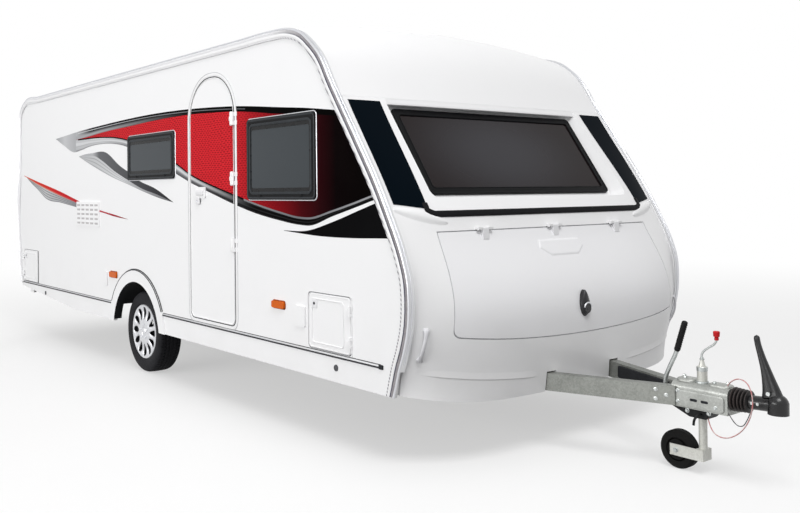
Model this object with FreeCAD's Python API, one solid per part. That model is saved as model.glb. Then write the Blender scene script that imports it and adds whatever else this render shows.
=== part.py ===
import FreeCAD, Part
import math
import os

# Travel caravan: single axle, overrun coupling, parked level on its wheels and jockey wheel.
# Frame: +X towards the coupling, +Y to the caravan's left, +Z up, ground at Z = 0, millimetres.

# Body shell
body_w = 2500.0
wall_t = 34.0
sill_z = 535.0
floor_t = 40.0
roof_z = 2550.0
roof_crown = 90.0
front_roof_x = 1300.0
rear_roof_x = -3631.0
rail_w = 62.0
rail_proud = 8.0
rail_flush = 12.0
moulding_t = 30.0
leaf_gap = 6.0
roof_power = 2.0
face_power = 5.0

# Skirt, wheel arch and wheels
skirt_z = 390.0
skirt_t = 22.0
skirt_taper_x = -2240.0
skirt_rear_z = 500.0
skirt_front_x = 2480.0
axle_x = -800.0
tyre_r = 340.0
tyre_w = 205.0
rim_r = 222.0
rim_w = 150.0
hub_r = 52.0
drum_r = 125.0
drum_w = 52.0
stub_r = 17.0
shaft_gap = 0.05
arch_half = 445.0
arch_top_z = 762.0
arch_band = 103.0
arch_proud = 12.0
well_t = 20.0

# Places across the body keep their distance from the side walls, and heights above the sill keep
# their share of the rise from the sill to the roof
half_w = body_w / 2
inner_y = half_w - wall_t
floor_z = sill_z + floor_t
drawn_rise = 2015.0


def level(z):
    """Height on the body, given for the drawn rise."""
    return sill_z + (z - sill_z) * (roof_z - sill_z) / drawn_rise


def levels(points):
    return [(x, level(z)) for x, z in points]


def window(x0, x1, z0, z1):
    """Edges of an opening: two lengthwise places and two heights."""
    return (x0, x1, level(z0), level(z1))


# Entrance door, windows and locker doors, as left, right, bottom and top edges
door_x0 = 185.0
door_x1 = 828.0
door_z0 = level(583)
door_z1 = level(2335)
door_top_r = 300.0
front_win = window(1011, 1794, 1458, 1992)
rear_win = window(-933, -62, 1620, 1989)
bed_win = window(-3300, -2500, 1500, 1990)
back_win = window(650 - half_w, half_w - 650, 1420, 1980)
front_locker = window(1697, 2113, 564, 894)
rear_locker = window(-3735, -3287, 562, 898)
corner_r = 28.0
frame_w = 48.0
frame_out = 12.0
pane_t = 6.0

tyre_outer_y = half_w - 58
well_in_y = half_w - 335

# Front window, set back in the front panel
front_pane_half = half_w - 408
front_win_top = (1992.0, level(2000))
front_win_low = (2344.0, level(1476))
front_frame_w = 46.0
pocket_edge = 28.0
pocket_draft = 0.55
brow_x = 2006.0
brow_mid_x = 2022.0
brow_z = level(2066)
brow_joint = 1.5
ledge_z = level(1390)

# Gas locker lid
lid_half_top = half_w - 285
lid_half_low = half_w - 235
lid_top_z = level(1272)
lid_low_z = level(722)
lid_sag = 62.0
lid_corner_r = 48.0
lid_hinge_x = 2562.0
lid_hinge_z = lid_top_z + 12

# Chassis, drawbar and coupling
rail_y = half_w - 700
rail_sec_w = 42.0
rail_sec_h = 150.0
rail_wall = 4.0
rail_x0 = -3450.0
rail_x1 = 2330.0
beam_h = 100.0
beam_w = 60.0
beam_z = 350.0
beam_x0 = 2180.0
beam_x1 = 3400.0
beam_tip_y = 78.0
axle_tube_x = -640.0
axle_sec = 90.0
arm_y = half_w - 370
housing_x0 = 3370.0
housing_x1 = 3680.0
housing_w = 124.0
housing_z0 = 345.0
housing_z1 = 478.0
draw_r = 25.0
draw_z = 425.0
bellows_r = 62.0
head_x0 = 3772.0
head_x1 = 3954.0
head_z0 = 389.0
head_z1 = 486.0
ball_r = 25.0
ball_x = 3905.0
ball_z = 400.0

# Jockey wheel
jockey_x = 3511.0
jockey_tube_r = 26.0
jockey_tube_z0 = 300.0
jockey_tube_z1 = 564.0
stem_r = 23.0
stem_gap = 0.05
swivel_r = 14.0
lower_tube_r = 21.5
collar_z0 = 375.0
collar_h = 70.0
clamp_half = 52.0
fork_h = 60.0
fork_t = 5.0
jockey_r = 103.0
jockey_w = 62.0
jockey_trail = 133.0
jockey_pin_r = 7.0

# Corner steadies
steady_len = 330.0
steady_y = rail_y + 82
steady_z = 350.0
steady_x = (-2900.0, 1850.0)
steady_pin_r = 7.0

# Hinges of doors and lids
pin_r = 5.0
knuckle_r = 9.0
hinge_h = 12.0

rail_front = levels([(front_roof_x, 2550), (1507, 2536), (1646, 2490), (1739, 2424), (1830, 2340), (1954, 2151),
                     (2188, 1808), (2362, 1545), (2465, 1362), (2569, 1151), (2606, 1034), (2616, 921),
                     (2599, 737), (2571, 642), (2530, 535)])
rail_rear = levels([(rear_roof_x, 2550), (-3784, 2484), (-3857, 2404), (-3880, 2204), (-3909, 1687),
                    (-3954, 1254), (-3907, 881), (-3876, 653), (-3824, 535)])


def vec(x, y, z):
    return FreeCAD.Vector(x, y, z)


def box(x0, x1, y0, y1, z0, z1):
    return Part.makeBox(x1 - x0, y1 - y0, z1 - z0, vec(x0, y0, z0))


def rod(p, q, r, r_end=None):
    """Round bar or cone from p to q."""
    line = q - p
    if r_end is None:
        return Part.makeCylinder(r, line.Length, p, line)
    return Part.makeCone(r, r_end, line.Length, p, line)


def prism_y(points, y0, y1):
    """Straight-sided outline in X and Z, extruded along Y."""
    wire = Part.makePolygon([vec(x, y0, z) for x, z in points] + [vec(points[0][0], y0, points[0][1])])
    return Part.Face(wire).extrude(vec(0, y1 - y0, 0))


def prism_z(points, z0, z1):
    """Straight-sided outline in X and Y, extruded along Z."""
    wire = Part.makePolygon([vec(x, y, z0) for x, y in points] + [vec(points[0][0], points[0][1], z0)])
    return Part.Face(wire).extrude(vec(0, 0, z1 - z0))


def rounded(x0, x1, z0, z1, y0, y1, r):
    """Rounded rectangle in X and Z, extruded along Y."""
    plate = box(x0, x1, min(y0, y1), max(y0, y1), z0, z1)
    corners = [e for e in plate.Edges if abs(e.tangentAt(e.FirstParameter).y) > 0.9]
    return plate.makeFillet(r, corners)


def mirror(shape):
    return shape.mirror(vec(0, 0, 0), vec(0, 1, 0))


def fuse(shapes):
    whole = shapes[0].multiFuse(shapes[1:]) if len(shapes) > 1 else shapes[0]
    return whole.removeSplitter()


def inset(points, d):
    """Points moved by d to the right of the way along them."""
    moved = []
    for i, (x, z) in enumerate(points):
        x0, z0 = points[max(i - 1, 0)]
        x1, z1 = points[min(i + 1, len(points) - 1)]
        size = math.hypot(x1 - x0, z1 - z0)
        moved.append((x + (z1 - z0) / size * d, z - (x1 - x0) / size * d))
    return moved


def curve(points, y):
    spline = Part.BSplineCurve()
    spline.interpolate([vec(x, y, z) for x, z in points])
    return spline.toShape()


def line(a, b, y):
    return Part.makeLine(vec(a[0], y, a[1]), vec(b[0], y, b[1]))


def front_points(d):
    """Front outline, set in by d, from the roof to the sill."""
    points = inset(rail_front, d)
    return [(front_roof_x, roof_z - d)] + points[1:-1] + [(points[-1][0], sill_z)]


def rear_points(d):
    points = inset(rail_rear, -d)
    return [(rear_roof_x, roof_z - d)] + points[1:-1] + [(points[-1][0], sill_z)]


def outline_face(d, y):
    """Side view of the body, set in by d from the rails' outer edge."""
    front = front_points(d)
    rear = rear_points(d)
    edges = [curve(front, y), line(front[-1], rear[-1], y), curve(rear, y), line(rear[0], front[0], y)]
    return Part.Face(Part.Wire(Part.__sortEdges__(edges)))


def crown(y, power):
    """Share of the full crown at y: full in the middle, falling away at the corners."""
    return 1 - abs(y / inner_y) ** power


def strip(edge, middle, t, power):
    """Crowned panel: its outer line runs from edge, at the rails, to middle, on the centre line."""
    wires = []
    for y in stations:
        share = crown(y, power)
        outer = [(a[0] + (b[0] - a[0]) * share, a[1] + (b[1] - a[1]) * share) for a, b in zip(edge, middle)]
        inner = inset(outer, t)
        wires.append(Part.Wire([curve(outer, y), line(outer[-1], inner[-1], y),
                                curve(list(reversed(inner)), y), line(inner[0], outer[0], y)]))
    return Part.makeLoft(wires, True, False)


half_stations = [inner_y * share for share in (0.25, 0.5, 0.7, 0.86, 1.0)]
stations = [-y for y in reversed(half_stations)] + [0.0] + half_stations


def hinge(length, base_reach, leaf_reach, t=4.0):
    """Butt hinge with its pin along Z, on a face at y = 0 whose outside is +Y and whose leaf is at +X.
    Returns the fixed half, with the pin, and the moving half."""
    third = length / 3
    fixed = [Part.makeCylinder(pin_r, length, vec(0, hinge_h, -length / 2))]
    for z0 in (-length / 2, length / 2 - third + 1):
        height = third - 1
        fixed.append(Part.makeCylinder(knuckle_r, height, vec(0, hinge_h, z0)))
        fixed.append(Part.makeBox(base_reach, t, height, vec(-base_reach, 0, z0)))
        fixed.append(Part.makeBox(knuckle_r, hinge_h, height, vec(-knuckle_r, 0, z0)))
    middle = third - 2
    arm = Part.makeBox(leaf_reach, 2 * t, middle, vec(0, hinge_h - t, -middle / 2))
    foot = Part.makeBox(leaf_reach - 14, hinge_h, middle, vec(14, 0, -middle / 2))
    ring = Part.makeCylinder(knuckle_r, middle, vec(0, hinge_h, -middle / 2))
    bore = Part.makeCylinder(pin_r + shaft_gap, length, vec(0, hinge_h, -length / 2))
    return fuse(fixed), fuse([ring, arm, foot]).cut(bore)


def placed(shape, origin, leaf_way, out_way):
    """Turn a hinge so that its leaf side points along leaf_way and its outside along out_way."""
    axis = leaf_way.cross(out_way)
    m = FreeCAD.Matrix(leaf_way.x, out_way.x, axis.x, origin.x,
                       leaf_way.y, out_way.y, axis.y, origin.y,
                       leaf_way.z, out_way.z, axis.z, origin.z, 0, 0, 0, 1)
    copy = shape.copy()
    copy.transformShape(m, False)
    return copy


def ring_y(x, z, r_out, r_in, y0, y1):
    outer = Part.makeCylinder(r_out, y1 - y0, vec(x, y0, z), vec(0, 1, 0))
    return outer.cut(Part.makeCylinder(r_in, y1 - y0 + 2, vec(x, y0 - 1, z), vec(0, 1, 0)))


def turned_y(profile, x, z):
    """Ring turned about a wheel's axle: the profile gives places across the wheel and radii."""
    wire = Part.makePolygon([vec(x, y, z + r) for y, r in profile + [profile[0]]])
    return Part.Face(wire).revolve(vec(x, 0, z), vec(0, 1, 0), 360)


nodes = {}
fixed_hinges = {"right": [], "front": []}


# Entrance door: a sandwich leaf with a rounded top, in a right-hand wall opening
def door_shape(grow, y0, y1):
    x0, x1 = door_x0 - grow, door_x1 + grow
    z0, z1 = door_z0 - grow, door_z1 + grow
    plate = box(x0, x1, y0, y1, z0, z1)
    top = [e for e in plate.Edges if abs(e.tangentAt(e.FirstParameter).y) > 0.9 and e.BoundBox.ZMin > z1 - 1]
    return plate.makeFillet(door_top_r + grow, top)


def arch_face(grow, y):
    """Wheel arch opening as one arc over the wheel, down past the skirt."""
    half = arch_half + grow
    low = skirt_z - 60
    a, b, c = vec(axle_x - half, y, skirt_z), vec(axle_x, y, arch_top_z + grow), vec(axle_x + half, y, skirt_z)
    edges = [Part.Arc(a, b, c).toShape(), line((c.x, c.z), (c.x, low), y),
             line((c.x, low), (a.x, low), y), line((a.x, low), (a.x, a.z), y)]
    return Part.Face(Part.Wire(edges))


def arch_cut(grow, y0, y1):
    return arch_face(grow, y0).extrude(vec(0, y1 - y0, 0))


def opening(edges, y0, y1, grow=0.0, r=corner_r):
    x0, x1, z0, z1 = edges
    return rounded(x0 - grow, x1 + grow, z0 - grow, z1 + grow, y0, y1, r)


far = half_w + 200
wall_blank = outline_face(rail_w, -half_w).extrude(vec(0, wall_t, 0))
wall_blank = wall_blank.cut(arch_cut(0, -far, 0))
wall_right = wall_blank.cut(door_shape(leaf_gap, -far, 0))
wall_left = wall_blank.copy()
for win in (front_win, rear_win):
    wall_right = wall_right.cut(opening(win, -far, 0, -frame_w + 8))
for win in (front_win, rear_win, bed_win):
    wall_left = wall_left.cut(opening(win, -far, 0, -frame_w + 8))
for locker in (front_locker, rear_locker):
    wall_right = wall_right.cut(opening(locker, -far, 0, leaf_gap))
nodes["side_wall_left"] = mirror(wall_left)

# Corner rails: aluminium extrusions that run round each side from sill to sill
rail = outline_face(0, -half_w - rail_proud).cut(outline_face(rail_w, -half_w - rail_proud))
rail = rail.extrude(vec(0, wall_t + rail_proud, 0))
nodes["corner_rail_right"] = rail
nodes["corner_rail_left"] = mirror(rail)


# Roof: a crowned sandwich sheet between the rails
def roof_arc(drop):
    side, mid = roof_z - drop, roof_z + roof_crown - drop
    x = rear_roof_x
    return Part.Arc(vec(x, -inner_y, side), vec(x, 0, mid), vec(x, inner_y, side)).toShape()


top_arc = roof_arc(0)
low_arc = roof_arc(wall_t)
ends = [Part.makeLine(vec(rear_roof_x, s * inner_y, roof_z), vec(rear_roof_x, s * inner_y, roof_z - wall_t))
        for s in (-1, 1)]
roof_face = Part.Face(Part.Wire(Part.__sortEdges__([top_arc, low_arc] + ends)))
roof = roof_face.extrude(vec(front_roof_x - rear_roof_x, 0, 0))

# Front cap over the window, front panel with its window recess, and the crowned lower moulding
high = roof_z + 400
cap_edge = levels([(front_roof_x, 2550), (1507, 2530), (1646, 2482), (1830, 2332), (1954, 2143)])
cap_edge.append((brow_x, brow_z))
cap_mid = levels([(1500, 2622), (1665, 2560), (1858, 2372), (1972, 2165)])
cap_mid = [(front_roof_x, roof_z + roof_crown)] + cap_mid + [(brow_mid_x, brow_z)]
front_cap = strip(cap_edge, cap_mid, wall_t, roof_power)
nodes["front_cap"] = front_cap.cut(box(0, front_roof_x, -far, far, brow_z, high))

panel_edge = [(brow_x + brow_joint, brow_z - brow_joint)] + levels([(2181, 1800), (2348, 1545), (2438, 1390)])
panel_mid = [(brow_mid_x + brow_joint, brow_z - brow_joint)] + levels([(2204, 1812), (2394, 1560), (2512, 1390)])
slope = vec(front_win_low[0] - front_win_top[0], 0, front_win_low[1] - front_win_top[1]).normalize()
out = vec(-slope.z, 0, slope.x)
win_mid = vec((front_win_top[0] + front_win_low[0]) / 2, 0, (front_win_top[1] + front_win_low[1]) / 2)
win_half = math.hypot(front_win_low[0] - front_win_top[0], front_win_low[1] - front_win_top[1]) / 2


def on_front(across, down, height):
    """Point on the window's plane: across the caravan, down the slope and out from the plane."""
    return win_mid + slope * down + out * height + vec(0, across, 0)


def front_rect(half_y, top, low, height, r):
    """Rounded rectangle parallel to the window's plane."""
    a, b = on_front(-half_y, top, height), on_front(half_y, top, height)
    c, d = on_front(half_y, low, height), on_front(-half_y, low, height)
    face = Part.Face(Part.makePolygon([a, b, c, d, a]))
    solid = face.extrude(out)
    edges = [e for e in solid.Edges if abs(e.tangentAt(e.FirstParameter).dot(out)) > 0.99]
    solid = solid.makeFillet(r, edges)
    low_faces = [f for f in solid.Faces if abs(f.normalAt(0, 0).dot(out)) > 0.99]
    return min(low_faces, key=lambda f: f.CenterOfMass.dot(out)).OuterWire


def front_plate(half_y, top, low, h0, h1, r, spread=0.0):
    """Plate between two heights over the window's plane, widening by spread."""
    lower = front_rect(half_y, top, low, h0, r)
    upper = front_rect(half_y + spread, top - spread, low + spread, h1, r + spread * 0.5)
    return Part.makeLoft([lower, upper], True, True)


pocket_h = 170.0
pocket = front_plate(front_pane_half + pocket_edge, -win_half - pocket_edge, win_half + pocket_edge, 0, pocket_h, 40,
                     pocket_h * pocket_draft)
tub_h = 200.0
tub = front_plate(front_pane_half + pocket_edge + wall_t, -win_half - pocket_edge - wall_t * 0.6,
                  win_half + pocket_edge + wall_t * 0.6, -wall_t, tub_h, 50, (tub_h + wall_t) * pocket_draft)


def lengthened(points, d):
    """The same line with its first and last points moved outwards by d."""
    ends = []
    for a, b in ((points[0], points[1]), (points[-1], points[-2])):
        size = math.hypot(a[0] - b[0], a[1] - b[1])
        ends.append((a[0] + (a[0] - b[0]) / size * d, a[1] + (a[1] - b[1]) / size * d))
    return [ends[0]] + points[1:-1] + [ends[1]]


panel_depth = 230.0
front_block = strip(panel_edge, panel_mid, panel_depth, face_power)
cabin_side = strip(lengthened(inset(panel_edge, wall_t), 80), lengthened(inset(panel_mid, wall_t), 80),
                   panel_depth + 30, face_power)
sight = front_plate(front_pane_half - front_frame_w + 8, -win_half + front_frame_w - 8,
                    win_half - front_frame_w + 8, -2 * wall_t, pocket_h, 20)
nodes["front_upper"] = front_block.cut(cabin_side.cut(tub)).cut(pocket).cut(sight)
belt_joint = 1.5
below_belt = box(2000, 3000, -half_w, half_w, ledge_z - 300, ledge_z)
nodes["front_upper"] = nodes["front_upper"].cut(below_belt)

mould_edge = levels([(2438, 1390), (2504, 1270), (2590, 1034), (2600, 870), (2562, 660), (2505, 500),
                     (2490, 400)])
mould_mid = levels([(2512, 1390), (2549, 1270), (2684, 1040), (2762, 860), (2776, 640), (2764, 480),
                    (2750, 345)])
moulding = strip(mould_edge, mould_mid, moulding_t, face_power)


def lid_cut(grow):
    """Outline of the gas locker lid seen from the front: the lower edge dips in the middle, and the
    lower corners are rounded."""
    x0, x1 = 2350.0, 3000.0
    top, low = lid_top_z + grow, lid_low_z - grow
    half_top, half_low = lid_half_top + grow, lid_half_low + grow
    bow_r = (half_low ** 2 + lid_sag ** 2) / (2 * lid_sag)
    foot_y = half_low - lid_corner_r
    foot_z = low - lid_sag + bow_r - math.sqrt(bow_r ** 2 - foot_y ** 2)
    share = lid_corner_r / math.hypot(half_low - half_top, top - low)
    side_y = half_low + (half_top - half_low) * share
    side_z = low + (top - low) * share
    edges = [Part.makeLine(vec(x0, -half_top, top), vec(x0, half_top, top)),
             Part.Arc(vec(x0, foot_y, foot_z), vec(x0, 0, low - lid_sag), vec(x0, -foot_y, foot_z)).toShape()]
    for s in (-1, 1):
        corner = Part.BezierCurve()
        corner.setPoles([vec(x0, s * side_y, side_z), vec(x0, s * half_low, low), vec(x0, s * foot_y, foot_z)])
        edges.append(Part.makeLine(vec(x0, s * half_top, top), vec(x0, s * side_y, side_z)))
        edges.append(corner.toShape())
    return Part.Face(Part.Wire(Part.__sortEdges__(edges))).extrude(vec(x1 - x0, 0, 0))


lid = moulding.common(lid_cut(0))
moulding = moulding.cut(lid_cut(leaf_gap))


def beam(side, grow):
    """One drawbar beam, which runs in from a chassis rail to the housing."""
    run = beam_x1 - beam_x0
    drop = rail_y - beam_tip_y
    wide = math.hypot(run, drop) / run
    out_grow = grow * wide
    in_grow = (beam_w + grow) * wide
    outer = [(beam_x0, rail_y + out_grow), (beam_x1, beam_tip_y + out_grow),
             (beam_x1, beam_tip_y - in_grow), (beam_x0, rail_y - in_grow)]
    return prism_z([(x, side * y) for x, y in outer], beam_z - grow, beam_z + beam_h + grow)


for s in (-1, 1):
    moulding = moulding.cut(beam(s, 9))
moulding = moulding.cut(box(2000, 3000, -half_w, half_w, ledge_z - belt_joint, ledge_z + 300))

# Rear panel with its window
rear_edge = rear_points(rail_flush)
rear_mid = levels([(-3792, 2556), (-3872, 2450), (-3898, 2216), (-3922, 1690), (-3960, 1254), (-3915, 881),
                   (-3886, 653), (-3846, 535)])
rear_mid.insert(0, (rear_roof_x, roof_z + roof_crown))
rear_edge.reverse()
rear_mid.reverse()
rear_panel = strip(rear_edge, rear_mid, wall_t, roof_power)


def back_plate(edges, x0, x1, grow, r):
    """Rounded rectangle in Y and Z, extruded along X."""
    y0, y1, z0, z1 = edges
    plate = box(x0, x1, y0 - grow, y1 + grow, z0 - grow, z1 + grow)
    corners = [e for e in plate.Edges if abs(e.tangentAt(e.FirstParameter).x) > 0.9]
    return plate.makeFillet(r, corners)


behind = rear_roof_x - 500
rear_panel = rear_panel.cut(back_plate(back_win, behind, rear_roof_x, -frame_w + 8, 30))
nodes["rear_panel"] = rear_panel.cut(box(rear_roof_x, 0, -far, far, floor_z, high))

# Floor, wheel wells and the bulkhead of the gas locker
floor_x0 = -3780.0
floor_front = [(x, inner_y * share) for x, share in
               ((2430, 1.0), (2520, 0.93), (2620, 0.79), (2690, 0.494), (2712, 0.0))]
floor_outline = [(floor_x0, inner_y)] + floor_front + [(x, -y) for x, y in reversed(floor_front[:-1])]
floor = prism_z(floor_outline + [(floor_x0, -inner_y)], sill_z, floor_z)
well_outer = arch_cut(well_t, -inner_y, -well_in_y)
well_hole = arch_cut(0, -far, -well_in_y - well_t)
under = box(axle_x - 2 * arch_half, axle_x + 2 * arch_half, -far, 0, 0, sill_z)
well = well_outer.cut(well_hole).cut(under)
floor = floor.cut(well_outer).cut(mirror(well_outer))
nodes["floor"] = floor
nodes["wheel_wells"] = Part.makeCompound([well, mirror(well)])
bulkhead_x = 2150.0
bulkhead_t = 20.0
shelf_reach = 245.0
shelf_z = ledge_z - 40
nodes["locker_bulkhead"] = fuse([box(bulkhead_x, bulkhead_x + bulkhead_t, -inner_y, inner_y, floor_z, shelf_z),
                                 box(bulkhead_x, bulkhead_x + shelf_reach, -inner_y, inner_y, shelf_z,
                                     shelf_z + bulkhead_t)])


# Side skirts with the arch mouldings
def skirt_side():
    points = [(rail_rear[-1][0], skirt_rear_z), (skirt_taper_x, skirt_z), (skirt_front_x, skirt_z),
              (skirt_front_x + 32, sill_z), (rail_rear[-1][0], sill_z)]
    plate = prism_y(points, -half_w, -half_w + skirt_t).cut(arch_cut(0, -far, 0))
    band = arch_face(arch_band, -half_w - arch_proud).cut(arch_face(0, -half_w - arch_proud))
    band = band.extrude(vec(0, arch_proud, 0))
    band = band.cut(box(rear_roof_x, front_roof_x, -far, 0, 0, skirt_z))
    return plate.fuse(band).removeSplitter()


nodes["skirt_right"] = skirt_side()
nodes["skirt_left"] = mirror(skirt_side())


# Windows: hollow frames glued over the openings, with panes set in them
def window_frame(edges, side):
    outer = opening(edges, -half_w - frame_out, -half_w, 0)
    x0, x1, z0, z1 = edges
    inner = rounded(x0 + frame_w, x1 - frame_w, z0 + frame_w, z1 - frame_w, -far, 0, corner_r)
    shape = outer.cut(inner)
    return shape if side < 0 else mirror(shape)


def window_pane(edges, side):
    x0, x1, z0, z1 = edges
    shape = rounded(x0 + frame_w, x1 - frame_w, z0 + frame_w, z1 - frame_w,
                    -half_w - frame_out + 2, -half_w - frame_out + 2 + pane_t, corner_r)
    return shape if side < 0 else mirror(shape)


side_windows = [(front_win, -1), (rear_win, -1), (front_win, 1), (rear_win, 1), (bed_win, 1)]
back_skin = strip(inset(rear_edge, -frame_out), inset(rear_mid, -frame_out), frame_out, roof_power)
back_frame = back_skin.common(back_plate(back_win, behind, rear_roof_x, 0, 40)).cut(
    back_plate(back_win, behind, rear_roof_x, -frame_w, 30))
pane_out = frame_out - 2
pane_skin = strip(inset(rear_edge, -pane_out), inset(rear_mid, -pane_out), pane_t, roof_power)
back_pane = pane_skin.common(back_plate(back_win, behind, rear_roof_x, -frame_w, 30))
nodes["window_frames"] = Part.makeCompound([window_frame(w, s) for w, s in side_windows] + [back_frame])
nodes["window_panes"] = Part.makeCompound([window_pane(w, s) for w, s in side_windows] + [back_pane])
front_frame = front_plate(front_pane_half, -win_half, win_half, 0, 16, 30)
front_hole = front_plate(front_pane_half - front_frame_w, -win_half + front_frame_w, win_half - front_frame_w,
                         -5, 40, 20)
nodes["front_window_frame"] = front_frame.cut(front_hole)
nodes["front_window_pane"] = front_plate(front_pane_half - front_frame_w, -win_half + front_frame_w,
                                         win_half - front_frame_w, 4, 4 + pane_t, 20)


# Black gloss panels beside the front window
def corner_panel(s):
    top_z, low_z = brow_z - 20, ledge_z + 14
    a, b = vec(front_roof_x, s * (half_w - 300), top_z), vec(front_roof_x, s * (half_w - 64), top_z)
    c, d = vec(front_roof_x, s * (half_w - 60), low_z + 28), vec(front_roof_x, s * (half_w - 265), low_z)
    blade = Part.Face(Part.makePolygon([a, b, c, d, a])).extrude(vec(beam_x1 - front_roof_x, 0, 0))
    skin_edge = inset(panel_edge, -3)
    skin_mid = inset(panel_mid, -3)
    return strip(skin_edge, skin_mid, 2.9, face_power).common(blade)


nodes["corner_panels"] = Part.makeCompound([corner_panel(-1), corner_panel(1)])

# Ladder chassis: channel rails, cross members, drawbar beams
rails = []
rail_top = sill_z
for s in (-1, 1):
    y0, y1 = sorted((s * rail_y, s * (rail_y + rail_sec_w)))
    bar = box(rail_x0, rail_x1, y0, y1, rail_top - rail_sec_h, rail_top)
    in0, in1 = (y0 + rail_wall, y1) if s > 0 else (y0, y1 - rail_wall)
    bar = bar.cut(box(rail_x0 - 1, rail_x1 + 1, in0, in1, rail_top - rail_sec_h + rail_wall, rail_top - rail_wall))
    rails.append(bar)
nodes["chassis_rails"] = Part.makeCompound(rails)
cross = []
for x in (-3200.0, -1900.0, 700.0, 2050.0):
    cross.append(box(x, x + 40, -rail_y, rail_y, rail_top - 70, rail_top))
nodes["cross_members"] = Part.makeCompound(cross)
housing_space = box(housing_x0 - 1, housing_x1, -housing_w / 2, housing_w / 2, 0, roof_z)
nodes["drawbar_beams"] = Part.makeCompound([beam(s, 0).cut(housing_space) for s in (-1, 1)])

# Torsion axle, its trailing arms and stub axles
axle_z = tyre_r
axle_top = rail_top - rail_sec_h
axle_mid = axle_top - axle_sec / 2
nodes["axle_tube"] = box(axle_tube_x - axle_sec / 2, axle_tube_x + axle_sec / 2, -arm_y, arm_y,
                         axle_top - axle_sec, axle_top)
arm_t = 26.0
drum_y0 = tyre_outer_y - tyre_w - drum_w + 8
plate_y = drum_y0 - 2
wheel_mid_y = tyre_outer_y - tyre_w / 2
disc_y = tyre_outer_y - 60
disc_t = 12.0
stub_end_y = disc_y + disc_t + 26
cap_y = stub_end_y + 8


def trailing_arm():
    a0 = -arm_y - arm_t
    tube_end = Part.makeCylinder(60, arm_t, vec(axle_tube_x, a0, axle_mid), vec(0, 1, 0))
    hub_end = Part.makeCylinder(46, arm_t, vec(axle_x, a0, axle_z), vec(0, 1, 0))
    web = prism_y([(axle_tube_x, axle_mid - 52), (axle_tube_x, axle_mid + 52), (axle_x, axle_z + 42),
                   (axle_x, axle_z - 42)], a0, a0 + arm_t)
    stub = rod(vec(axle_x, a0 + 1, axle_z), vec(axle_x, -stub_end_y, axle_z), stub_r)
    collar = rod(vec(axle_x, a0, axle_z), vec(axle_x, -plate_y, axle_z), 34)
    plate = rod(vec(axle_x, -plate_y + 4, axle_z), vec(axle_x, -plate_y, axle_z), drum_r + 8)
    return fuse([tube_end, hub_end, web, stub, collar, plate])


nodes["trailing_arms"] = Part.makeCompound([trailing_arm(), mirror(trailing_arm())])


# Road wheels: tyre, and a steel wheel with its brake drum and twelve-spoke cover
def tyre(s):
    o, i, w = tyre_r, rim_r, tyre_w
    out_y, in_y = -tyre_outer_y, -tyre_outer_y + w
    shoulder = 26.0
    groove = 9.0
    profile = [(out_y + 22, i), (out_y + 4, i + 34), (out_y, i + 62), (out_y + 8, o - shoulder), (out_y + 30, o - 4)]
    for k in range(4):
        y = out_y + 52 + k * (w - 104) / 3
        profile += [(y - 5, o), (y - 5, o - groove), (y + 5, o - groove), (y + 5, o)]
    profile += [(in_y - 30, o - 4), (in_y - 8, o - shoulder), (in_y, i + 62), (in_y - 4, i + 34), (in_y - 22, i)]
    shape = turned_y(profile, axle_x, axle_z)
    return shape if s < 0 else mirror(shape)


def wheel(s):
    y0 = -wheel_mid_y - rim_w / 2
    y1 = -wheel_mid_y + rim_w / 2
    r = rim_r
    barrel = turned_y([(y0 - 6, r - 14), (y0 - 6, r - 1), (y0 + 14, r - 1), (y0 + 40, r - 22), (y1 - 40, r - 22),
                       (y1 - 14, r - 1), (y1 + 6, r - 1), (y1 + 6, r - 12), (y1 - 20, r - 14), (y1 - 44, r - 30),
                       (y0 + 44, r - 30), (y0 + 16, r - 14)], axle_x, axle_z)
    face = -disc_y
    disc = turned_y([(face - disc_t, 30), (face - disc_t, r - 12), (face, r - 12), (face, 30)], axle_x, axle_z)
    for k in range(12):
        a = math.radians(30 * k + 15)
        slot = Part.makeBox(92, 40, 14, vec(84, -20, -7))
        slot = slot.fuse(prism_z([(84, -3), (178, -17), (178, 17), (84, 3)], -30, 30))
        slot.rotate(vec(0, 0, 0), vec(1, 0, 0), 90)
        slot.rotate(vec(0, 0, 0), vec(0, 1, 0), -math.degrees(a))
        slot.translate(vec(axle_x, face - disc_t / 2, axle_z))
        disc = disc.cut(slot)
    boss = ring_y(axle_x, axle_z, hub_r, stub_r + shaft_gap, -disc_y - disc_t, -drum_y0)
    drum = ring_y(axle_x, axle_z, drum_r, stub_r + shaft_gap, -drum_y0 - drum_w, -drum_y0)
    cup = ring_y(axle_x, axle_z, 34, 26, -cap_y, -disc_y - disc_t)
    lid_cap = Part.makeCylinder(34, 4, vec(axle_x, -cap_y - 4, axle_z), vec(0, 1, 0))
    shape = fuse([barrel, disc, boss, drum, cup, lid_cap])
    return shape if s < 0 else mirror(shape)


for s, name in ((-1, "right"), (1, "left")):
    nodes["tyre_" + name] = tyre(s)
    nodes["wheel_" + name] = wheel(s)

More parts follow.
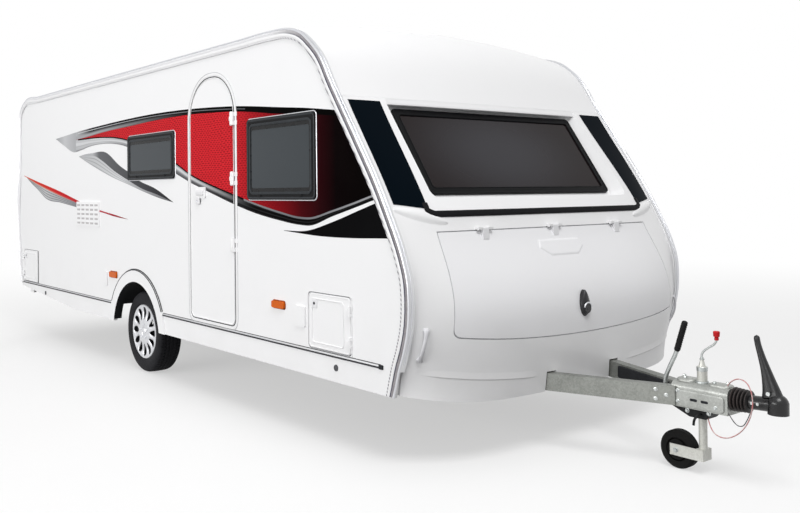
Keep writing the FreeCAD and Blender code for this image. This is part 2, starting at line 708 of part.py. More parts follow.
# Overrun housing, bellows, draw tube with the coupling head, and its handle
housing = box(housing_x0, housing_x1, -housing_w / 2, housing_w / 2, housing_z0, housing_z1)
top_edges = [e for e in housing.Edges if e.BoundBox.ZMin > housing_z1 - 1 and e.BoundBox.XLength > 100]
housing = housing.makeFillet(34, top_edges)
hollow = box(housing_x0 - 1, housing_x1 - 8, -housing_w / 2 + 6, housing_w / 2 - 6, housing_z0 - 1, housing_z1 - 40)
housing = housing.cut(hollow)
housing = housing.cut(Part.makeCylinder(jockey_tube_r, 400, vec(jockey_x, 0, 250)))
housing = housing.cut(rod(vec(housing_x1 - 20, 0, draw_z), vec(housing_x1 + 10, 0, draw_z), draw_r))
nodes["overrun_housing"] = housing
folds = []
step = (head_x0 - housing_x1) / 7
for k in range(7):
    x = housing_x1 + k * step
    folds.append(rod(vec(x, 0, draw_z), vec(x + step / 2, 0, draw_z), bellows_r * 0.8, bellows_r))
    folds.append(rod(vec(x + step / 2, 0, draw_z), vec(x + step, 0, draw_z), bellows_r, bellows_r * 0.8))
nodes["draw_bellows"] = fuse(folds).cut(rod(vec(housing_x1 - 5, 0, draw_z), vec(head_x0 + 5, 0, draw_z), draw_r))

draw_tube = rod(vec(housing_x1 - 14, 0, draw_z), vec(head_x0 + 10, 0, draw_z), draw_r)
head = Part.makeLoft([
    Part.Wire(Part.makeCircle(36, vec(head_x0, 0, draw_z), vec(1, 0, 0))),
    Part.Wire(Part.makeCircle(36, vec(head_x0 + 60, 0, draw_z + 4), vec(1, 0, 0))),
    Part.Wire(Part.makeCircle(40, vec(head_x0 + 110, 0, draw_z + 10), vec(1, 0, 0)))], True, False)
dome = Part.makeCylinder(49, 58, vec(ball_x, 0, head_z0))
dome = dome.fuse(Part.makeSphere(49, vec(ball_x, 0, head_z0 + 50), vec(0, 0, 1), 0, 90, 360))
head = fuse([draw_tube, head, dome])
head = head.cut(Part.makeSphere(ball_r, vec(ball_x, 0, ball_z)))
head = head.cut(Part.makeCylinder(ball_r, 60, vec(ball_x, 0, ball_z - 60)))
nodes["coupling_head"] = head

handle = Part.makeLoft([
    Part.makePolygon([vec(3838, -30, 474), vec(3838, 30, 474), vec(3912, 30, 492), vec(3912, -30, 492),
                      vec(3838, -30, 474)]),
    Part.makePolygon([vec(3822, -22, 575), vec(3822, 22, 575), vec(3878, 22, 582), vec(3878, -22, 582),
                      vec(3822, -22, 575)]),
    Part.makePolygon([vec(3792, -15, 740), vec(3792, 15, 740), vec(3822, 15, 744), vec(3822, -15, 744),
                      vec(3792, -15, 740)])], True, True)
knob = Part.makeCylinder(20, 32, vec(3806, -16, 748), vec(0, 1, 0))
nodes["coupling_handle"] = handle.fuse(knob).cut(head).removeSplitter()

# Handbrake lever with its grip, on a cross bracket between the beams behind the housing
lever_r = 11.0
grip_r = 17.0
bracket_z = beam_z + 22
p0, p1, p2 = vec(housing_x0 - 69, 0, bracket_z + 10), vec(housing_x0 - 70, 0, 473), vec(housing_x0 - 50, 0, 524)
p3, p4 = vec(housing_x0 - 8, 0, 613), vec(housing_x0 + 50, 0, 795)
lever = [rod(p0, p1, lever_r), rod(p1, p2, lever_r), rod(p2, p3, lever_r), rod(p3, p4, lever_r)]
lever.append(rod(p3 + (p4 - p3) * 0.2, p4, grip_r))
lever += [Part.makeSphere(lever_r, p) for p in (p1, p2, p3)] + [Part.makeSphere(grip_r, p4)]
lever.append(box(p0.x - 26, p0.x + 26, -beam_tip_y, beam_tip_y, bracket_z, bracket_z + 20))
nodes["handbrake_lever"] = fuse(lever).cut(beam(-1, 0)).cut(beam(1, 0)).removeSplitter()

# Jockey wheel: clamped outer tube, sliding stem, swivelling fork and its wheel
bore_r = stem_r + stem_gap
tube = rod(vec(jockey_x, 0, jockey_tube_z0), vec(jockey_x, 0, jockey_tube_z1), jockey_tube_r)
tube = tube.cut(rod(vec(jockey_x, 0, jockey_tube_z0 - 5), vec(jockey_x, 0, jockey_tube_z1 - 12), bore_r))
cone = rod(vec(jockey_x, 0, jockey_tube_z1), vec(jockey_x, 0, jockey_tube_z1 + 40), 18, 8)
nodes["jockey_outer_tube"] = tube.fuse(cone).removeSplitter()
c0 = vec(jockey_x, 0, jockey_tube_z1 + 36)
c1 = vec(jockey_x + 4, 0, jockey_tube_z1 + 70)
c2 = vec(jockey_x + 78, 0, jockey_tube_z1 + 128)
c3 = vec(jockey_x + 82, 0, jockey_tube_z1 + 150)
crank = [rod(c0, c1, 7), rod(c1, c2, 6), rod(c2, c3, 6), Part.makeSphere(7, c1), Part.makeSphere(6, c2)]
crank.append(rod(c3, c3 + vec(2, 0, 16), 8, 14))
crank.append(rod(c3 + vec(2, 0, 16), c3 + vec(2, 0, 46), 17))
nodes["jockey_crank"] = fuse(crank).cut(nodes["jockey_outer_tube"])
clamp = prism_y([(jockey_x - 150, housing_z0), (jockey_x + 90, housing_z0), (jockey_x + 46, jockey_tube_z0),
                 (jockey_x - 44, jockey_tube_z0)], -clamp_half, clamp_half)
clamp = clamp.cut(Part.makeCylinder(jockey_tube_r, 200, vec(jockey_x, 0, 220)))
nodes["jockey_clamp"] = clamp.removeSplitter()

# The stem's collar slides in the outer tube; the lower tube and its fork turn on the stem
stem = rod(vec(jockey_x, 0, collar_z0), vec(jockey_x, 0, collar_z0 + collar_h), stem_r)
spigot_z0 = jockey_r + 22
spigot = rod(vec(jockey_x, 0, spigot_z0), vec(jockey_x, 0, collar_z0), swivel_r)
nodes["jockey_stem"] = stem.fuse(spigot).removeSplitter()
hub_x = jockey_x - jockey_trail
fork_in = jockey_w / 2 + 6
fork_low = jockey_r - fork_h / 2
fork_top = jockey_r + fork_h / 2
lower_tube = rod(vec(jockey_x, 0, fork_low), vec(jockey_x, 0, collar_z0 - 1), lower_tube_r)
lower_tube = lower_tube.cut(rod(vec(jockey_x, 0, spigot_z0 - 1), vec(jockey_x, 0, collar_z0), swivel_r + shaft_gap))
yoke = box(jockey_x - lower_tube_r, jockey_x + lower_tube_r, -fork_in - fork_t, fork_in + fork_t, fork_low, fork_top)
yoke = yoke.cut(rod(vec(jockey_x, 0, fork_low), vec(jockey_x, 0, fork_top), lower_tube_r - 2))
arms = [box(hub_x - 34, jockey_x, min(y, y + s * fork_t), max(y, y + s * fork_t), fork_low, fork_top)
        for s, y in ((-1, -fork_in), (1, fork_in))]
fork_pin = rod(vec(hub_x, -fork_in - fork_t, jockey_r), vec(hub_x, fork_in + fork_t, jockey_r), jockey_pin_r)
nodes["jockey_fork"] = fuse([lower_tube, yoke, fork_pin] + arms)
jr, jw = jockey_r, jockey_w / 2
jockey = turned_y([(-jw, jr - 40), (-jw, jr - 14), (-jw + 12, jr), (jw - 12, jr), (jw, jr - 14), (jw, jr - 40),
                   (jw - 18, jr - 46), (jw - 18, 26), (jw, 24), (jw, jockey_pin_r + shaft_gap),
                   (-jw, jockey_pin_r + shaft_gap), (-jw, 24), (-jw + 18, 26), (-jw + 18, jr - 46)], hub_x, jockey_r)
nodes["jockey_wheel"] = jockey



# Breakaway cable from the housing to the jockey clamp, and the thin wire under the bellows
def cord(points, r, name):
    """Round cord on straight runs joined by tangent arcs."""
    edges = []
    radii = []
    begin = points[0]
    for a, b, c in zip(points, points[1:], points[2:]):
        back, on = (a - b).normalize(), (c - b).normalize()
        reach = 0.45 * min((a - b).Length, (c - b).Length)
        half_turn = (math.pi - back.getAngle(on)) / 2
        bend = reach / math.tan(half_turn)
        middle = b + (back + on).normalize() * (bend / math.cos(half_turn) - bend)
        edges.append(Part.makeLine(begin, b + back * reach))
        edges.append(Part.Arc(b + back * reach, middle, b + on * reach).toShape())
        begin = b + on * reach
        radii.append(round(bend, 1))
    edges.append(Part.makeLine(begin, points[-1]))
    path = Part.Wire(edges)
    print(name, "length", round(path.Length, 1), "radii", radii)
    end = Part.Wire(Part.makeCircle(r, points[0], points[1] - points[0]))
    tube = path.makePipeShell([end], True, False)
    return tube.cut(housing).cut(nodes["jockey_clamp"]).cut(head)


cable_r = 3.0
wire_r = 2.5
nodes["breakaway_cable"] = cord([
    vec(3648, -13, 474), vec(3668, -24, 508), vec(3735, -50, 548), vec(3800, -72, 530), vec(3822, -75, 440),
    vec(3800, -75, 345), vec(3745, -74, 268), vec(3665, -72, 226), vec(3586, -58, 248), vec(3561, -35, 308)],
    cable_r, "breakaway_cable")
nodes["brake_wire"] = cord([
    vec(3678, -50, 359), vec(3702, -51, 322), vec(3735, -52, 300), vec(3768, -48, 318), vec(3788, -24, 403)],
    wire_r, "brake_wire")

# Corner steadies, folded up against the chassis
steady_brackets = []
for i, x in enumerate(steady_x):
    way = -1 if i == 0 else 1
    for s, side in ((-1, "right"), (1, "left")):
        y = s * steady_y
        leg = box(min(x, x + way * steady_len), max(x, x + way * steady_len), y - 17, y + 17, steady_z - 18,
                  steady_z + 12)
        eye = Part.makeCylinder(18, 34, vec(x, y - 17, steady_z), vec(0, 1, 0))
        foot = Part.makeCylinder(40, 34, vec(x + way * steady_len, y - 17, steady_z), vec(0, 1, 0))
        bore = Part.makeCylinder(steady_pin_r + shaft_gap, 60, vec(x, y - 30, steady_z), vec(0, 1, 0))
        end = "rear" if i == 0 else "front"
        nodes["steady_" + end + "_" + side] = fuse([leg, eye, foot]).cut(bore)
        pin = Part.makeCylinder(steady_pin_r, 52, vec(x, y - 26, steady_z), vec(0, 1, 0))
        cheek_a = box(x - 24, x + 24, y - 26, y - 22, steady_z - 20, axle_top)
        cheek_b = box(x - 24, x + 24, y + 22, y + 26, steady_z - 20, axle_top)
        inner = s * (rail_y + rail_sec_w)
        cap = box(x - 24, x + 24, min(y - 26, inner), max(y + 26, inner), axle_top, axle_top + 6)
        steady_brackets.append(fuse([pin, cheek_a, cheek_b, cap]))
nodes["steady_brackets"] = Part.makeCompound(steady_brackets)

# Door, locker doors and gas locker lid on their hinges
door = door_shape(0, -half_w, -half_w + wall_t)
door_hinge_z = (1142, 1602, 2018)
for z in door_hinge_z:
    fixed, moving = hinge(90, 40, 44)
    spot = vec(door_x1 + leaf_gap - 4, -half_w, level(z))
    way, outward = vec(-1, 0, 0), vec(0, -1, 0)
    fixed_hinges["right"].append(placed(fixed, spot, way, outward))
    door = door.fuse(placed(moving, spot, way, outward))
lock_x0 = door_x0 + 60
lock_plate = rounded(lock_x0, lock_x0 + 179, level(1467), level(1548), -half_w - 10, -half_w, 16)
door = door.fuse(lock_plate)
nodes["entrance_door"] = door.removeSplitter()


def locker_door(edges, hinge_side):
    """Flap with a hinge on its front or rear edge."""
    x0, x1, z0, z1 = edges
    flap = opening(edges, -half_w, -half_w + wall_t)
    edge_x = x1 + leaf_gap - 4 if hinge_side > 0 else x0 - leaf_gap + 4
    for z in (z0 + 75, z1 - 75):
        fixed, moving = hinge(60, 16, 30)
        spot = vec(edge_x, -half_w, z)
        way, outward = vec(-hinge_side, 0, 0), vec(0, -1, 0)
        fixed_hinges["right"].append(placed(fixed, spot, way, outward))
        flap = flap.fuse(placed(moving, spot, way, outward))
    return flap.removeSplitter()


nodes["front_locker_door"] = locker_door(front_locker, 1)
nodes["rear_locker_door"] = locker_door(rear_locker, -1)
nodes["side_wall_right"] = fuse([wall_right] + fixed_hinges["right"])

lid_parts = [lid]
lid_hinge_y = (-lid_half_top * 0.64, 0.0, lid_half_top * 0.64)
for y in lid_hinge_y:
    pin = rod(vec(lid_hinge_x, y - 60, lid_hinge_z), vec(lid_hinge_x, y + 60, lid_hinge_z), pin_r)
    for y0 in (y - 60, y + 26):
        cheek = box(lid_hinge_x - 62, lid_hinge_x + 9, y0, y0 + 34, lid_hinge_z - 3, lid_hinge_z + 9)
        cheek = cheek.fuse(rod(vec(lid_hinge_x, y0, lid_hinge_z), vec(lid_hinge_x, y0 + 34, lid_hinge_z), knuckle_r))
        fixed_hinges["front"].append(cheek)
    fixed_hinges["front"].append(pin)
    ring = rod(vec(lid_hinge_x, y - 24, lid_hinge_z), vec(lid_hinge_x, y + 24, lid_hinge_z), knuckle_r)
    arm = prism_y([(lid_hinge_x - 8, lid_hinge_z), (lid_hinge_x + 9, lid_hinge_z), (lid_hinge_x + 12, lid_hinge_z - 60),
                   (lid_hinge_x - 12, lid_hinge_z - 60)], y - 24, y + 24)
    bore = rod(vec(lid_hinge_x, y - 70, lid_hinge_z), vec(lid_hinge_x, y + 70, lid_hinge_z), pin_r + shaft_gap)
    lid_parts.append(ring.fuse(arm).cut(bore))
gas_lid = fuse(lid_parts)
for y in lid_hinge_y:
    gas_lid = gas_lid.cut(rod(vec(lid_hinge_x, y - 70, lid_hinge_z), vec(lid_hinge_x, y + 70, lid_hinge_z),
                              pin_r + shaft_gap))
lock = Part.makeCylinder(30, 14, vec(2764, 0, level(800)), vec(1, 0, 0))
gas_lid = gas_lid.fuse(lock)
nodes["gas_locker_lid"] = gas_lid.removeSplitter()
nodes["front_moulding"] = fuse([moulding] + fixed_hinges["front"])

# Roof hatches: frames on the roof, lids hinged at their rear edges
hatches = {"front": (250.0, 950.0, 250.0), "rear": (-3000.0, -2600.0, 200.0)}
hatch_z = roof_z + roof_crown + 22
solid_roof = Part.Face(Part.Wire([roof_arc(0), Part.makeLine(
    vec(rear_roof_x, inner_y, roof_z), vec(rear_roof_x, -inner_y, roof_z))])).extrude(
        vec(front_roof_x - rear_roof_x, 0, 0))
hatch_frames = []
for name, (x0, x1, half) in hatches.items():
    hole = box(x0 + 30, x1 - 30, -half + 30, half - 30, roof_z - 100, hatch_z + 50)
    blank = box(x0, x1, -half, half, roof_z + 20, hatch_z)
    ring = blank.cut(hole)
    ring = ring.cut(solid_roof)
    roof = roof.cut(hole)
    lid_z0 = hatch_z + leaf_gap
    cover = box(x0 - 12, x1 + 12, -half - 12, half + 12, lid_z0, lid_z0 + 34)
    cover = cover.makeFillet(14, [e for e in cover.Edges if e.BoundBox.ZMin > lid_z0 + 33])
    cover = cover.cut(box(x0, x1, -half, half, lid_z0 - 1, lid_z0 + 26))
    axis_x, axis_z = x0 - 24, lid_z0
    for y in (-half * 0.6, half * 0.6):
        pin = rod(vec(axis_x, y - 40, axis_z), vec(axis_x, y + 40, axis_z), pin_r)
        for y0 in (y - 40, y + 18):
            post = box(axis_x - 9, x0 + 4, y0, y0 + 22, roof_z, axis_z - 2 - leaf_gap)
            stand = box(axis_x - 9, axis_x + 4, y0, y0 + 22, roof_z, axis_z)
            eye = rod(vec(axis_x, y0, axis_z), vec(axis_x, y0 + 22, axis_z), knuckle_r)
            ring = ring.fuse(post.fuse(stand).fuse(eye).cut(solid_roof))
        ring = ring.fuse(pin)
        knuckle = rod(vec(axis_x, y - 16, axis_z), vec(axis_x, y + 16, axis_z), knuckle_r)
        arm = box(axis_x, x0 - 6, y - 16, y + 16, axis_z + 1, axis_z + 12)
        bore = rod(vec(axis_x, y - 60, axis_z), vec(axis_x, y + 60, axis_z), pin_r + shaft_gap)
        cover = cover.fuse(knuckle.fuse(arm).cut(bore))
    hatch_frames.append(ring.removeSplitter())
    nodes[name + "_hatch_lid"] = cover.removeSplitter()
nodes["hatch_frames"] = Part.makeCompound(hatch_frames)
nodes["roof"] = roof

# Lamps, rear bumper, grilles and service flaps
lamps = []
for s in (-1, 1):
    for x0, x1, z0, z1 in (window(1303, 1441, 764, 808), window(-1338, -1191, 768, 816)):
        lamp = rounded(x0, x1, z0, z1, -half_w - 16, -half_w, 12)
        lamps.append(lamp if s < 0 else mirror(lamp))
nodes["marker_lamps"] = Part.makeCompound(lamps)
bumper_x0 = -3930.0
bumper_x1 = -3800.0
bumper_half = half_w - 120
bumper_z0 = 405.0
bumper = box(bumper_x0, bumper_x1, -bumper_half, bumper_half, bumper_z0, sill_z)
bumper = bumper.makeFillet(30, [e for e in bumper.Edges if abs(e.tangentAt(e.FirstParameter).z) > 0.9 and
                                e.BoundBox.XMax < bumper_x0 + 30])
bumper = bumper.cut(box(bumper_x0 + 30, bumper_x1 + 10, -bumper_half + 30, bumper_half - 30, bumper_z0 - 5,
                        sill_z - 20))
nodes["rear_bumper"] = bumper
clusters = []
lamp_out = 24.0
lamp_skin = strip(inset(rear_edge, -lamp_out), inset(rear_mid, -lamp_out), lamp_out, roof_power)
for s in (-1, 1):
    y0, y1 = sorted((s * (half_w - 290), s * (half_w - 100)))
    block = back_plate((y0, y1, level(620), level(980)), behind, rear_roof_x, 0, 40)
    clusters.append(lamp_skin.common(block))
nodes["rear_lamps"] = Part.makeCompound(clusters)
fitting_out = 10.0


def fitting(x0, x1, z0, z1):
    """Grille or flap that stands proud of the right-hand wall."""
    return rounded(x0, x1, level(z0), level(z1), -half_w - fitting_out, -half_w, 10)


nodes["wall_fittings"] = Part.makeCompound([
    fitting(-2131, -1577, 1203, 1434), fitting(1562, 1665, 675, 802), fitting(-1470, -1400, 686, 810),
    mirror(fitting(300, 760, 1250, 1500)), mirror(fitting(300, 760, 700, 900)),
    mirror(fitting(-2000, -1700, 640, 900))])

# Grab handles on the lower front corners, for moving the caravan by hand
grab_r = 12.0


def grab_handle(s):
    y = s * (half_w - 90)
    foot_x = 2600.0
    low_z, top_z = level(600), level(790)
    a, b = vec(foot_x - 20, y, low_z), vec(foot_x + 78, y, low_z + 24)
    c, d = vec(foot_x + 88, y, top_z - 24), vec(foot_x, y, top_z)
    bar = [rod(a, b, grab_r), rod(b, c, grab_r), rod(c, d, grab_r), Part.makeSphere(grab_r, b),
           Part.makeSphere(grab_r, c)]
    return fuse(bar).cut(strip(mould_edge, mould_mid, 3 * moulding_t, face_power))


nodes["grab_handles"] = Part.makeCompound([grab_handle(-1), grab_handle(1)])

# Furniture that shows through the windows and the doorway
seat_h = 430.0
board_t = 18.0


def carcass(x0, x1, y0, y1, height):
    """Cabinet or bed box of boards, open to the floor."""
    body = box(x0, x1, y0, y1, floor_z, floor_z + height)
    return body.cut(box(x0 + board_t, x1 - board_t, y0 + board_t, y1 - board_t, floor_z - 1,
                        floor_z + height - board_t))


seat_x0 = 1250.0
seat_x1 = 1640.0
seat_deep = 656.0
locker_deep = 240.0
nodes["furniture"] = Part.makeCompound([
    carcass(seat_x0, seat_x1, -inner_y, -inner_y + seat_deep, seat_h),
    carcass(seat_x0, seat_x1, inner_y - seat_deep, inner_y, seat_h),
    carcass(seat_x1 + 6, bulkhead_x - 10, -inner_y + locker_deep, inner_y, seat_h),
    carcass(-320, 900, inner_y - 576, inner_y, 880),
    carcass(-2300, -1600, inner_y - 886, inner_y, 1850),
    carcass(floor_x0, -2400, -inner_y + 616, inner_y, 480)])

os.makedirs("parts", exist_ok=True)
for name, shape in nodes.items():
    shape.exportStep("parts/" + name + ".step")
    print(name, "solids", len(shape.Solids), "valid", shape.isValid(), "volume", round(shape.Volume / 1e6, 3))
print("nodes", len(nodes))
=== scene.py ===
import math
from contextlib import contextmanager

import bmesh
import bpy
import numpy as np
from mathutils import Matrix, Vector
from mathutils.bvhtree import BVHTree


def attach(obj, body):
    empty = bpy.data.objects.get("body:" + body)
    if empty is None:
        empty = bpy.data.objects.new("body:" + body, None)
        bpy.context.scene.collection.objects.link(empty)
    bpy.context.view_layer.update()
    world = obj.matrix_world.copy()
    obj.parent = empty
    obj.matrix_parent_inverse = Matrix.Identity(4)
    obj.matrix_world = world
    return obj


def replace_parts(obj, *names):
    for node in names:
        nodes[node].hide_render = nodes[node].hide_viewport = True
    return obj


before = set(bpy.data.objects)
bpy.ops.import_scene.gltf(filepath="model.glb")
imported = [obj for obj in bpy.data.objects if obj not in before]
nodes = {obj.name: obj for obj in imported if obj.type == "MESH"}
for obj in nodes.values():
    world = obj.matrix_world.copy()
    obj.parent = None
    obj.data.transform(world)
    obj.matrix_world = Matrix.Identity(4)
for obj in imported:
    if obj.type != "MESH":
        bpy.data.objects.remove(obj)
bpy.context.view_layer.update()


# Coated skin of the body
# Aluminium side walls and roof and moulded front panels, all in the same white top coat. It is sprayed,
# so it has a faint orange peel, and road dust gathers low down on the sides.
def tone(code):
    """Linear colour of a six-digit sRGB code: each channel c above 0.04045 is ((c + 0.055) / 1.055) ** 2.4."""
    c = np.array([int(code[i:i + 2], 16) for i in (0, 2, 4)]) / 255
    linear = np.where(c > 0.04045, ((c + 0.055) / 1.055) ** 2.4, c / 12.92)
    return (*linear.tolist(), 1.0)


def feed(tree, socket, value):
    """Fills a shader socket with a value or with another node's output."""
    if isinstance(value, bpy.types.NodeSocket):
        tree.links.new(value, socket)
    else:
        socket.default_value = value


def add(tree, kind, *sockets, out=0, **settings):
    """Adds a shader node, fills its sockets in order, apart from those given as None, and gives its output."""
    node = tree.nodes.new("ShaderNode" + kind)
    for key, value in settings.items():
        setattr(node, key, value)
    for socket, value in zip(node.inputs, sockets):
        if value is not None:
            feed(tree, socket, value)
    return node.outputs[out]


def maths(tree, operation, *values):
    return add(tree, "Math", *values, operation=operation)


def times(tree, a, b):
    return maths(tree, "MULTIPLY", a, b)


def plus(tree, a, b):
    return maths(tree, "ADD", a, b)


def spread(tree, value, low, high, to_low=0.0, to_high=1.0):
    """Carries value from the range low to high over to another range, smoothly."""
    return add(tree, "MapRange", value, low, high, to_low, to_high, interpolation_type="SMOOTHSTEP")


def blended(tree, share, a, b):
    """Colour a where share is 0 and b where it is 1."""
    node = tree.nodes.new("ShaderNodeMix")
    node.data_type = "RGBA"
    for name, value in (("Factor_Float", share), ("A_Color", a), ("B_Color", b)):
        feed(tree, next(s for s in node.inputs if s.identifier == name), value)
    return next(s for s in node.outputs if s.identifier == "Result_Color")


def noise(tree, at, scale, detail=3.0, rough=0.5):
    node = tree.nodes.new("ShaderNodeTexNoise")
    for name, value in (("Vector", at), ("Scale", scale), ("Detail", detail), ("Roughness", rough)):
        feed(tree, node.inputs[name], value)
    return node.outputs["Fac"]


def place(tree):
    """Object coordinates, in metres in the caravan's own frame."""
    return add(tree, "TexCoord", out=3)


def group(name, ins, outs):
    """Empty shader node group with named inputs and outputs."""
    tree = bpy.data.node_groups.new(name, "ShaderNodeTree")
    kinds = {"colour": "NodeSocketColor", "value": "NodeSocketFloat", "normal": "NodeSocketVector"}
    for label, kind, value in ins:
        made = tree.interface.new_socket(label, in_out="INPUT", socket_type=kinds[kind])
        made.default_value = value
    for label, kind in outs:
        tree.interface.new_socket(label, in_out="OUTPUT", socket_type=kinds[kind])
    return tree, tree.nodes.new("NodeGroupInput").outputs, tree.nodes.new("NodeGroupOutput").inputs


# road film: dust that thickens towards the ground, in clouds, over a clean colour
film, film_in, film_out = group(
    "road_film", [("Clean", "colour", (1, 1, 1, 1)), ("Gloss", "value", 0.3), ("Amount", "value", 0.2)],
    [("Color", "colour"), ("Roughness", "value")])
spot = place(film)
height = add(film, "SeparateXYZ", spot, out=2)
low_down = spread(film, height, 1.1, 0.1, 0.12, 1.0)
clouds = spread(film, noise(film, spot, 3.0, 5.0, 0.6), 0.35, 0.75)
dust = times(film, times(film, low_down, clouds), film_in["Amount"])
film.links.new(blended(film, dust, film_in["Clean"], tone("8E867A")), film_out["Color"])
film.links.new(add(film, "MapRange", dust, 0.0, 1.0, film_in["Gloss"], 0.75), film_out["Roughness"])

# sprayed coat: the slight waviness of a painted panel and its fine orange peel
coat, coat_in, coat_out = group("sprayed_coat", [("Peel", "value", 1.0)], [("Normal", "normal")])
spot = place(coat)
waves = times(coat, noise(coat, spot, 2.5, 1.0), 0.4)
peel = times(coat, noise(coat, spot, 160.0, 2.0), 0.05)
relief = times(coat, plus(coat, waves, peel), coat_in["Peel"])
coat.links.new(add(coat, "Bump", 0.12, 0.004, None, relief), coat_out["Normal"])

# mottling: soft light and dark patches for moulded plastic, rubber and cast or painted metal
mottle, mottle_in, mottle_out = group(
    "mottling", [("Base", "colour", (1, 1, 1, 1)), ("Worn", "colour", (1, 1, 1, 1)), ("Scale", "value", 30.0),
                 ("Gloss", "value", 0.4), ("Grain", "value", 0.3)],
    [("Color", "colour"), ("Roughness", "value"), ("Normal", "normal")])
spot = place(mottle)
scaled = add(mottle, "VectorMath", spot, out=0, operation="SCALE")
mottle.links.new(mottle_in["Scale"], scaled.node.inputs["Scale"])
patches = spread(mottle, noise(mottle, scaled, 1.0, 4.0, 0.6), 0.3, 0.75)
mottle.links.new(blended(mottle, patches, mottle_in["Base"], mottle_in["Worn"]), mottle_out["Color"])
mottle.links.new(plus(mottle, mottle_in["Gloss"], times(mottle, patches, 0.16)),
                 mottle_out["Roughness"])
grain = times(mottle, noise(mottle, spot, 700.0, 2.0), mottle_in["Grain"])
mottle.links.new(add(mottle, "Bump", 0.35, 0.0015, None, grain), mottle_out["Normal"])


def finish(name, metallic=0.0, coat_weight=0.0, mirror=0.5):
    """New material: its node tree, its Principled shader's inputs and the material. mirror is its specular level."""
    made = bpy.data.materials.new(name)
    made.use_nodes = True
    shader = made.node_tree.nodes["Principled BSDF"].inputs
    shader["Metallic"].default_value = metallic
    shader["Coat Weight"].default_value = coat_weight
    shader["Specular IOR Level"].default_value = mirror
    return made.node_tree, shader, made


def use(tree, which, **values):
    """Places a node group in a material, with its own values, and gives its outputs."""
    node = tree.nodes.new("ShaderNodeGroup")
    node.node_tree = which
    for name, value in values.items():
        feed(tree, node.inputs[name], value)
    return node.outputs


def wear(tree, shader, skin):
    """Leads those of a group's colour, roughness and normal that it has to a material's shader."""
    for socket, target in (("Color", "Base Color"), ("Roughness", "Roughness"), ("Normal", "Normal")):
        if socket in skin:
            tree.links.new(skin[socket], shader[target])


def coated(name, colour, gloss, dust_amount=0.25, metallic=0.0, coat_weight=0.1, mirror=0.5):
    """Sprayed paint or bright metal under a road film."""
    tree, shader, made = finish(name, metallic, coat_weight, mirror)
    wear(tree, shader, use(tree, film, Clean=tone(colour), Gloss=gloss, Amount=dust_amount))
    wear(tree, shader, use(tree, coat, Peel=1.0))
    return made


def moulded(name, colour, worn, gloss, scale=30.0, grain=0.3, metallic=0.0, mirror=0.12):
    """Plastic, rubber or cast metal, mottled between two colours."""
    tree, shader, made = finish(name, metallic, mirror=mirror)
    wear(tree, shader, use(tree, mottle, Base=tone(colour), Worn=tone(worn), Scale=scale, Gloss=gloss, Grain=grain))
    return made


def paint(material, *names):
    """Gives CAD nodes a better material in place of their own."""
    for name in names:
        slots = nodes[name].data.materials
        slots.clear()
        slots.append(material)


body_white = coated("body_white", "F1F1F2", 0.3, 0.07)
paint(body_white, "side_wall_right", "side_wall_left", "roof", "front_cap", "front_upper", "front_moulding",
      "rear_panel", "skirt_right", "skirt_left", "entrance_door", "gas_locker_lid", "front_locker_door",
      "rear_locker_door", "rear_bumper", "wall_fittings", "hatch_frames")


# Corner rails
# Aluminium extrusions that clamp the side walls to the roof, front and back. Each carries a white cover
# strip between two narrow seals, a grey band and a bright bead along its outer corner.
SIDES = ((-1, "right"), (1, "left"))
ACROSS = (0, 1.0, 0)
UP = (0, 0, 1.0)


def placed(name, data):
    """New object in the scene, at the origin."""
    made = bpy.data.objects.new(name, data)
    bpy.context.scene.collection.objects.link(made)
    return made


@contextmanager
def reshaping(mesh):
    """Opens a mesh for changes to its faces and puts them back into it."""
    shape = bmesh.new()
    shape.from_mesh(mesh)
    yield shape
    shape.to_mesh(mesh)
    shape.free()


def surface(name, points, material, form="sheet", body="caravan", out=None, smooth=True):
    """Mesh over a grid of points (rows, columns, 3). A lathe closes each row on itself, a tube has a flat face on its
    first and last row as well, a loop closes its rows too, and a hoop closes only those. Faces turn towards out, or
    away from the inside."""
    rows, columns = points.shape[:2]
    index = np.arange(rows * columns).reshape(rows, columns)
    if form in ("loop", "hoop"):
        index = np.vstack([index, index[:1]])
    if form in ("lathe", "tube", "loop"):
        index = np.hstack([index, index[:, :1]])
    quads = np.stack([index[:-1, :-1], index[1:, :-1], index[1:, 1:], index[:-1, 1:]], -1).reshape(-1, 4)
    faces = quads.tolist()
    if form == "tube":
        faces += [list(range(columns)), list(range((rows - 1) * columns, rows * columns))]
    mesh = bpy.data.meshes.new(name)
    mesh.from_pydata(points.reshape(-1, 3).tolist(), [], faces)
    with reshaping(mesh) as shape:
        bmesh.ops.remove_doubles(shape, verts=shape.verts, dist=1e-6)
        bmesh.ops.dissolve_degenerate(shape, edges=shape.edges, dist=1e-6)
        bmesh.ops.recalc_face_normals(shape, faces=shape.faces)
        if out is not None:
            total = sum((f.normal * f.calc_area() for f in shape.faces), Vector())
            if total.dot(Vector(out)) < 0:
                bmesh.ops.reverse_faces(shape, faces=shape.faces)
        for face in shape.faces:
            face.smooth = smooth
    if smooth:
        mesh.set_sharp_from_angle(angle=math.radians(40))
    mesh.materials.append(material)
    made = placed(name, mesh)
    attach(made, body)
    return made


def joined(name, grids, material, form, body="caravan"):
    """One piece of several grids of the same form."""
    parts = [surface(f"{name}_{i}", grid, material, form, body) for i, grid in enumerate(grids)]
    return merged(name, parts, body)


